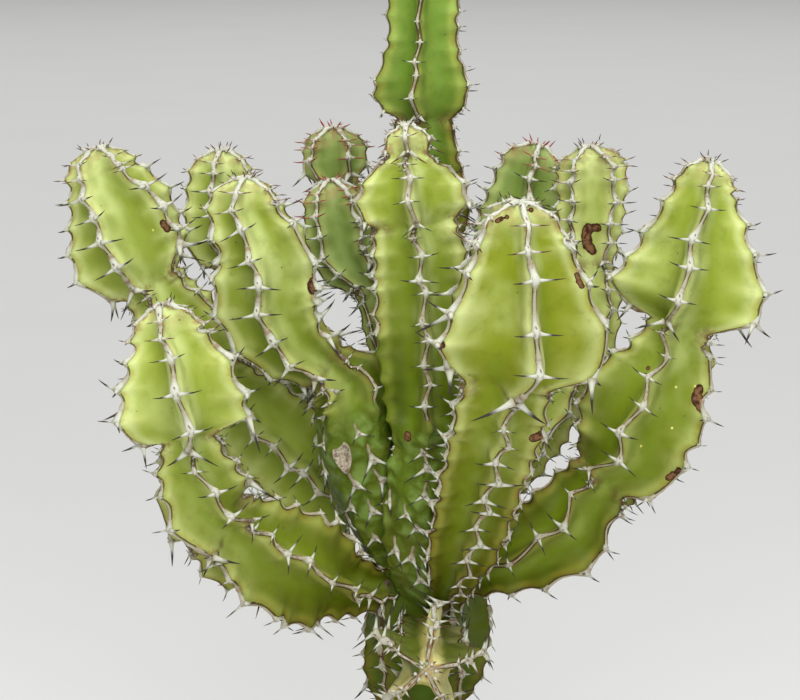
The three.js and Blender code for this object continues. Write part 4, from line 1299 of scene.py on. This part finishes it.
def add_band(mesh, stem, rib, low, high):
    """One rib's margin from low to high along the stem, and on over the tip if high is its end"""
    s = np.linspace(low, high, max(3, round((high - low) / SLICE_STEP) + 1))
    edge, out, across = stem.rib_edge(rib, s)
    tangent = stem.frame_at(s)[1]
    if high == stem.length:
        tip = stem.frame_at(np.array([high]))[0][0]
        reach = np.linalg.norm(edge[-1] - tip)
        radial = unit(edge[-1] - tip)
        ahead = tangent[-1]
        flat, steep = np.cos(OVER_TIP), np.sin(OVER_TIP)
        edge = np.vstack([edge, tip + radial * reach * flat + ahead * OVER_TIP_RISE * steep])
        out = np.vstack([out, radial * flat + ahead * steep])
        across = np.vstack([across, np.repeat(across[-1:], len(OVER_TIP), axis=0)])
        s = np.append(s, high + np.arange(1, len(OVER_TIP) + 1) * 0.9)
    along = unit(np.gradient(edge, axis=0))
    up = unit(out - (out * along).sum(-1)[:, None] * along)
    level = np.cross(along, up)
    teeth = stem.teeth[rib]
    after = s[:, None] - teeth[None]
    lower = teeth < stem.last_waist
    above = np.where(lower, *SHIELD_ABOVE)[None]
    climb = np.where(after >= 0, 1 - after / above, 1 + after / SHIELD_BELOW)
    pitch_here = np.gradient(teeth)[None] / stem.low_pitch
    bulk = np.clip(pitch_here, 0.6, 1) * stem.vigours[rib][None] * np.where(lower, LOWER_SHIELDS, 1)
    shield = (np.clip(climb, 0, 1) ** 1.9 * bulk).max(1)
    knobbly = np.clip(0.5 + 0.6 * ripple(edge, 30, 47 + rib), 0, 1)
    knob = np.exp(-((after - KNOB_ABOVE) ** 2) / 1.2).max(1) * knobbly
    size = np.clip(stem.reach(np.minimum(s, stem.length)) / 21, 0.72, 1.2)
    smooth = stem.smooth(s)
    bare = 1 - 0.95 * smooth * (1 - eased(shield, 0.02, 0.2))
    buried = stem.buried(rib, edge)
    size = size * (1 + 0.4 * smooth) * NARROW_BANDS.get(stem.key, 1) * (1 - 0.98 * buried)
    crown = np.clip(1 - (stem.length - s) / CROWN_SPAN, 0, 1)
    shield = np.maximum(shield, WEAK_CROWNS.get(stem.key, CROWN) * crown)
    near_waist = np.min([np.abs(s - waist) for waist in stem.waists] or [s * 0 + 99], axis=0)
    crust = np.clip(1.3 - near_waist / CRUST_SPAN, 0, 1)
    uneven = 1 + (0.14 + 0.25 * crust) * ripple(edge, 5, 31 + rib) + 0.13 * ripple(edge, 1.7, 51 + rib)
    slim = 1 - SLIMMER * np.clip((stem.length - s) / SLIM_SPAN, 0, 1)
    half = (BAND_HALF * slim * bare + SHIELD_HALF * shield + 0.45 * knob) * size * uneven
    rise = (BAND_RISE * bare + SHIELD_RISE * shield + 0.5 * knob) * size * uneven
    sunk = 0.55 + 0.9 * (1 - bare) + 3 * buried
    from_scar = np.abs(after - SCAR_ABOVE).min(1)
    age = np.clip((stem.length - s) / AGE_SPAN + OLDER_BANDS.get(stem.key, 0), 0, 1)
    numbers = {"shield": shield, "knob": knob, "crust": crust, "age": age}
    add_ridge(mesh, edge, up, level, half, rise, sunk, from_scar, **numbers)


def add_spines(mesh, stem, rib, low, high, others, dice):
    """The pairs of spines of one rib, left out where they would pierce another stem"""
    teeth = stem.teeth[rib]
    pitches = np.gradient(teeth)
    for number, tooth in enumerate(teeth):
        luck = dice.uniform(-1, 1, 8)
        if not low <= tooth <= high:
            continue
        edge, out, across = (value[0] for value in stem.rib_edge(rib, np.array([tooth])))
        tangent = stem.frame_at(np.array([tooth]))[1][0]
        crowd = np.clip(pitches[number] / stem.low_pitch, 0.6, 1.15)
        last_tooth = teeth[number - 1] if number else 0
        above_waist = any(last_tooth < waist < tooth for waist in stem.waists)
        reach = float(stem.reach(np.array([tooth]))[0])
        smooth = float(stem.smooth(np.array([tooth]))[0])
        size = min(1.2, 0.6 + reach / 48) * (0.55 + 0.45 * crowd) * (WAIST_SPINES if above_waist else 1)
        size *= stem.vigours[rib][number] * (LOWER_SPINES if tooth < stem.last_waist else 1)
        if stem.key == "main":
            size *= MAIN_SPINES
        if stem.buried(rib, edge[None])[0] > 0.5:
            continue
        for hand, chance in ((-1, luck[:4]), (1, luck[4:])):
            spread = math.radians(SPINE_SPREAD + ANGLE_STRAY * chance[0])
            sag = SPINE_SAG + ANGLE_STRAY * chance[1] + SMOOTH_SAG * smooth + WAIST_SAG * above_waist
            sag = math.radians(sag)
            way = out * math.cos(spread) + across * hand * math.sin(spread)
            way = unit(way * math.cos(sag) - tangent * math.sin(sag))
            length = (SPINE_LENGTH + LENGTH_STRAY * chance[2]) * size
            base = edge + across * hand * 1.2 * min(1, size) - out * 0.15
            samples = base + way * length * np.array([0.25, 0.5, 0.75, 1])[:, None]
            if any((other.clear_of(samples) < SPINE_CLEARANCE).any() for other in others):
                continue
            if samples[:, 2].min() < SOIL_TOP + 1:
                continue
            fresh = float(tooth > stem.length - FRESH_SPAN) * (1 if stem.key in YOUNG_STEMS else 0.25)
            bend = tangent * (0.14 + 0.12 * chance[3]) * (1 - smooth)
            add_spine(mesh, base, way, length, size * (0.92 + 0.1 * chance[3]), fresh, bend)


def add_lone_shield(mesh, stem, place, dice):
    """A shield left alone on swollen flesh, like a drop, with its pair of spines hanging down"""
    nearest = np.linalg.norm(stem.axis - place, axis=1).argmin()
    lean = dice.uniform(-0.4, 0.4)
    up = unit(place - stem.axis[nearest])
    level = unit(np.cross(up, stem.tangents[nearest]))
    down = np.cross(up, level) * math.cos(lean) + level * math.sin(lean)
    level = np.cross(down, up)
    size = dice.uniform(0.85, 1.35)
    share = np.linspace(0, 1, LONE_SHIELD_RINGS)
    run = (share - 0.62) * LONE_SHIELD_LENGTH * size
    middle = np.array(place) + down * run[:, None] + level * (0.5 * np.sin(5 * share))[:, None]
    half = size * np.interp(share, [0, 0.12, 0.45, 0.75, 0.92, 1], [0.2, 0.75, 0.7, 1.9, 1.5, 0.2])
    rise = size * np.interp(share, [0, 0.12, 0.5, 0.8, 1], [0.3, 1.0, 0.9, 1.7, 0.6])
    shield = np.interp(share, [0, 0.4, 0.75, 1], [0.1, 0.2, 1, 0.8])
    knob = np.clip(0.9 - 2.6 * share, 0, 1)
    ones = np.ones(LONE_SHIELD_RINGS)
    frames = (np.outer(ones, up), np.outer(ones, level))
    from_scar = np.abs(share - 0.72) * LONE_SHIELD_LENGTH
    numbers = {"shield": shield, "knob": knob, "age": 0.95 * ones}
    add_ridge(mesh, middle, *frames, half, rise, 0.4 * ones, from_scar, **numbers)
    for hand in (-1, 1):
        open_by = math.radians(dice.uniform(38, 68))
        way = down * math.cos(open_by) + level * hand * math.sin(open_by) + up * dice.uniform(0.25, 0.6)
        foot = np.array(place) + down * 1.5 * size + level * hand * 1.0 * size + up * 0.6
        add_spine(mesh, foot, unit(way), dice.uniform(6.0, 11.0) * size, 0.95 * size, 0)


def add_crust(mesh, stem, others, dice):
    """Short dry spines that stand crowded in the waists"""
    for waist in stem.waists:
        for rib in range(RIBS):
            spots = waist + dice.uniform(-5.5, 3.5, CRUST_SPINES)
            edges, outs, acrosses = stem.rib_edge(rib, spots)
            tangents = stem.frame_at(spots)[1]
            leans = dice.uniform(-1.3, 1.3, CRUST_SPINES)
            tilts = dice.uniform(-0.9, 0.9, CRUST_SPINES)
            lengths = dice.uniform(2.2, 5.2, CRUST_SPINES)
            spines = zip(edges, outs, acrosses, tangents, leans, tilts, lengths)
            for base, out, across, tangent, lean, tilt, length in spines:
                way = unit(out * math.cos(lean) + across * math.sin(lean) + tangent * tilt)
                samples = base + way * length * np.array([0.1, 0.5, 1])[:, None]
                if all((other.clear_of(samples) > CRUST_CLEARANCE).all() for other in others):
                    add_spine(mesh, base, way, length, 0.55, 0)


def add_tuft(mesh, stem, dice):
    """The crowd of new spines around the growing point"""
    tip, tangent, front, side = (value[0] for value in stem.frame_at(np.array([stem.length])))
    fresh = 1 if stem.key in YOUNG_STEMS else 0.1
    reach = float(stem.reach(np.array([stem.length]))[0])
    for k in range(TUFT_SPINES):
        turn = 2 * math.pi * (k + dice.uniform(-0.3, 0.3)) / TUFT_SPINES
        out = front * math.cos(turn) + side * math.sin(turn)
        lean = math.radians(dice.uniform(30, 85))
        way = out * math.sin(lean) + tangent * math.cos(lean)
        base = tip + out * reach * dice.uniform(0.2, 0.85) + tangent * DOME_RISE
        add_spine(mesh, base, way, dice.uniform(3.0, 5.6), 0.85, fresh, tangent * 0.2)


horn = Finish("horny_margin", 0.62, Specular_IOR_Level=0.22)
spine, shield, dot = horn.told("spine"), horn.told("shield"), horn.told("dot")
knob, fresh, crust, age = (horn.told(name) for name in ("knob", "fresh", "crust", "age"))
weather = horn.grain(3.2, 4, 0.6)
fibre = horn.grain(0.8, 3, 0.6)
horn_tone = horn.mix((0.39, 0.36, 0.255), (0.57, 0.585, 0.49), shield.between(0.1, 0.7))
aged = age.between(0.2, 1) * (0.35 + weather.between(0.4, 0.6))
horn_tone = horn.mix(horn_tone, (0.30, 0.235, 0.15), aged * 0.6)
stained = weather.between(0.53, 0.68) * (1 - 0.7 * shield)
horn_tone = horn.mix(horn_tone, (0.30, 0.21, 0.12), stained * 0.75)
horn_tone = horn.mix(horn_tone, (0.34, 0.27, 0.19), fibre.between(0.55, 0.72) * 0.5)
horn_tone = horn.mix(horn_tone, (0.26, 0.16, 0.09), knob.between(0.35, 0.75) * 0.7)
horn_tone = horn.mix(horn_tone, (0.13, 0.08, 0.042), crust * weather.between(0.38, 0.52) * 0.92)
horn_tone = horn.mix(horn_tone, (0.16, 0.09, 0.045), dot.between(0.35, 0.6) * 0.85)
horn_tone = horn.mix(horn_tone, (0.59, 0.60, 0.52), spine.between(0.0, 0.12) * 0.9)
horn_tone = horn.mix(horn_tone, (0.034, 0.026, 0.018), (spine + 0.25 * weather).between(0.36, 0.70))
horn_tone = horn.mix(horn_tone, (0.30, 0.035, 0.03), fresh * spine.between(0.02, 0.3) * 0.85)
horn.colour(horn_tone)
horn.roughness(0.5 + 0.25 * fibre)
horn.relief(0.6 * fibre + 0.5 * weather, 0.3)

for stem in stems:
    others = [other for other in stems if other is not stem]
    dice = np.random.default_rng(97 + sum(map(ord, stem.key)))
    mesh = Mesh()
    trunk = Mesh()
    for rib in range(RIBS):
        walk = np.arange(0, stem.length, 2.0)
        edge = stem.rib_edge(rib, walk)[0]
        if stem.key == "main":
            low = float(np.interp(WHORL_TOP, edge[:, 2], walk))
            foot = float(np.interp(TRUNK_MARGINS_FROM, edge[:, 2], walk))
            add_band(trunk, stem, rib, foot, low + 1)
            add_spines(trunk, stem, rib, foot, low, others, dice)
        else:
            out_of_main = stems[0].clear_of(edge) > -2.5
            low = float(walk[np.argmax(out_of_main)])
        add_band(mesh, stem, rib, low, stem.length)
        add_spines(mesh, stem, rib, low, stem.length, others, dice)
    add_crust(mesh, stem, others, dice)
    add_tuft(mesh, stem, dice)
    for place in LONE_SHIELDS.get(stem.key, []):
        add_lone_shield(mesh, stem, np.array(place), dice)
    thorns = mesh.stand(stem.key + "_thorns", horn)
    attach(thorns, "root")
    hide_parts(stem.key + "_horn")
    if trunk.count:
        low_thorns = trunk.stand("trunk_thorns", horn)
        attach(low_thorns, "root")

# The dry leaf: a small leaf that a stem has shed, caught on the swollen middle of the whorl. It has
# dried to a stiff cupped flake, grey-brown with dark blotches.

LEAF_MIDDLE = np.array([-38.0, -47.0, 371.5])
LEAF_OUT = unit(np.array([-0.4, -0.88, 0.3]))
LEAF_HALF_LONG = 8.2
LEAF_HALF_WIDE = 4.8
LEAF_CUP = 1.9
LEAF_RINGS = 15
LEAF_SIDES = 16

leaf_down = unit(np.cross(np.cross(LEAF_OUT, [0.38, 0, -1]), LEAF_OUT))
leaf_side = np.cross(LEAF_OUT, leaf_down)
share = np.linspace(-0.98, 0.98, LEAF_RINGS)[:, None]
round_it = np.linspace(0, 2 * math.pi, LEAF_SIDES, endpoint=False)[None]
half = LEAF_HALF_WIDE * (1 - share**2) ** 0.6 * (1 - 0.35 * share)
wide = half * np.cos(round_it)
cup = LEAF_CUP * ((wide / LEAF_HALF_WIDE) ** 2 + 0.5 * share**2) + 0.28 * np.sin(round_it)
leaf_points = LEAF_MIDDLE + (share * LEAF_HALF_LONG + 0 * wide)[..., None] * leaf_down
leaf_points = (leaf_points + wide[..., None] * leaf_side + cup[..., None] * LEAF_OUT).reshape(-1, 3)
leaf_points += 0.35 * ripple(leaf_points, 4, 63)[:, None] * LEAF_OUT
ends = leaf_points.reshape(LEAF_RINGS, LEAF_SIDES, 3).mean(1)[[0, -1]]
leaf_points = np.vstack([leaf_points, ends])
leaf_quads = skin_of_rings(LEAF_RINGS, LEAF_SIDES)
leaf_lids = lids_of_rings(LEAF_RINGS, LEAF_SIDES)

leaf_skin = Finish("dry_leaf", 0.8)
blotch = leaf_skin.grain(2.6, 4, 0.65)
highlight_and_bleach = leaf_skin.grain(1.2, 3).between(0.4, 0.6)
leaf_tone = leaf_skin.mix((0.27, 0.22, 0.16), (0.42, 0.37, 0.28), highlight_and_bleach)
leaf_skin.colour(leaf_skin.mix(leaf_tone, (0.10, 0.055, 0.028), blotch.between(0.5, 0.62) * 0.85))
leaf_skin.relief(blotch, 0.3)
dry_leaf = stand("dry_leaf", leaf_points, leaf_quads, leaf_lids, leaf_skin)
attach(dry_leaf, "root")

# The floor: one plain pale sheet, matt and barely clouded, that the pot stands on. It runs far back, so
# that it also fills the picture behind the plant.

FLOOR_REACH = 16000

floor_finish = Finish("pale_floor", 0.85)
floor_clouds = floor_finish.grain(300, 3)
floor_finish.colour(floor_finish.mix((0.80, 0.80, 0.785), (0.84, 0.84, 0.825), floor_clouds))
corners = [(FLOOR_REACH * x, FLOOR_REACH * y, 0) for x, y in ((-1, -1), (1, -1), (1, 1), (-1, 1))]
floor = stand("floor", corners, [(0, 1, 2, 3)], np.zeros((0, 3), int), floor_finish)

# The light: a soft lamp high over the front of the whorl, a broader one farther out above the camera,
# a wide bright ceiling that whitens the floor behind, and a dim even room.


def lamp(name, place, aim, width, watts, tint):
    light = bpy.data.lights.new(name, "AREA")
    light.shape = "DISK"
    light.size = width
    light.energy = watts
    light.color = tint
    holder = bpy.data.objects.new(name, light)
    bpy.context.scene.collection.objects.link(holder)
    holder.location = place
    way = np.array(aim) - np.array(place)
    holder.rotation_euler = (
        math.atan2(math.hypot(way[0], way[1]), -way[2]),
        0,
        math.atan2(way[1], way[0]) - math.pi / 2,
    )


WHORL = (0, 0, 0.42)
lamp("key", (0.0, -0.42, 1.35), WHORL, 0.6, 5.6, (1.0, 0.985, 0.95))
lamp("front", (0.07, -1.9, 1.3), WHORL, 1.2, 29, (0.98, 0.99, 1.0))
lamp("ceiling", (0, 4, 5), (0, 4, 0), 14, 440, (1.0, 1.0, 1.0))

world = bpy.data.worlds.new("room")
world.use_nodes = True
world.node_tree.nodes["Background"].inputs["Color"].default_value = (1.0, 1.0, 1.0, 1)
world.node_tree.nodes["Background"].inputs["Strength"].default_value = 0.16
bpy.context.scene.world = world
bpy.context.scene.view_settings.view_transform = "Standard"

# The camera: 1.2 metres from the whorl and looking 12 degrees down on it through a long lens, so that
# the pot and the tip of the main stem lie outside the picture.

CAMERA_ELEVATION = math.radians(12)
CAMERA_FAR = 1.2
CAMERA_TARGET = (-0.011, 0, 0.415)
camera_data = bpy.data.cameras.new("camera")
camera_data.sensor_width = 36
camera_data.lens = 108
camera_data.clip_end = 60
camera = bpy.data.objects.new("camera", camera_data)
bpy.context.scene.collection.objects.link(camera)
camera.location = (
    CAMERA_TARGET[0],
    -CAMERA_FAR * math.cos(CAMERA_ELEVATION),
    CAMERA_TARGET[2] + CAMERA_FAR * math.sin(CAMERA_ELEVATION),
)
camera.rotation_euler = (math.pi / 2 - CAMERA_ELEVATION, 0, 0)
bpy.context.scene.camera = camera

bpy.context.view_layer.update()
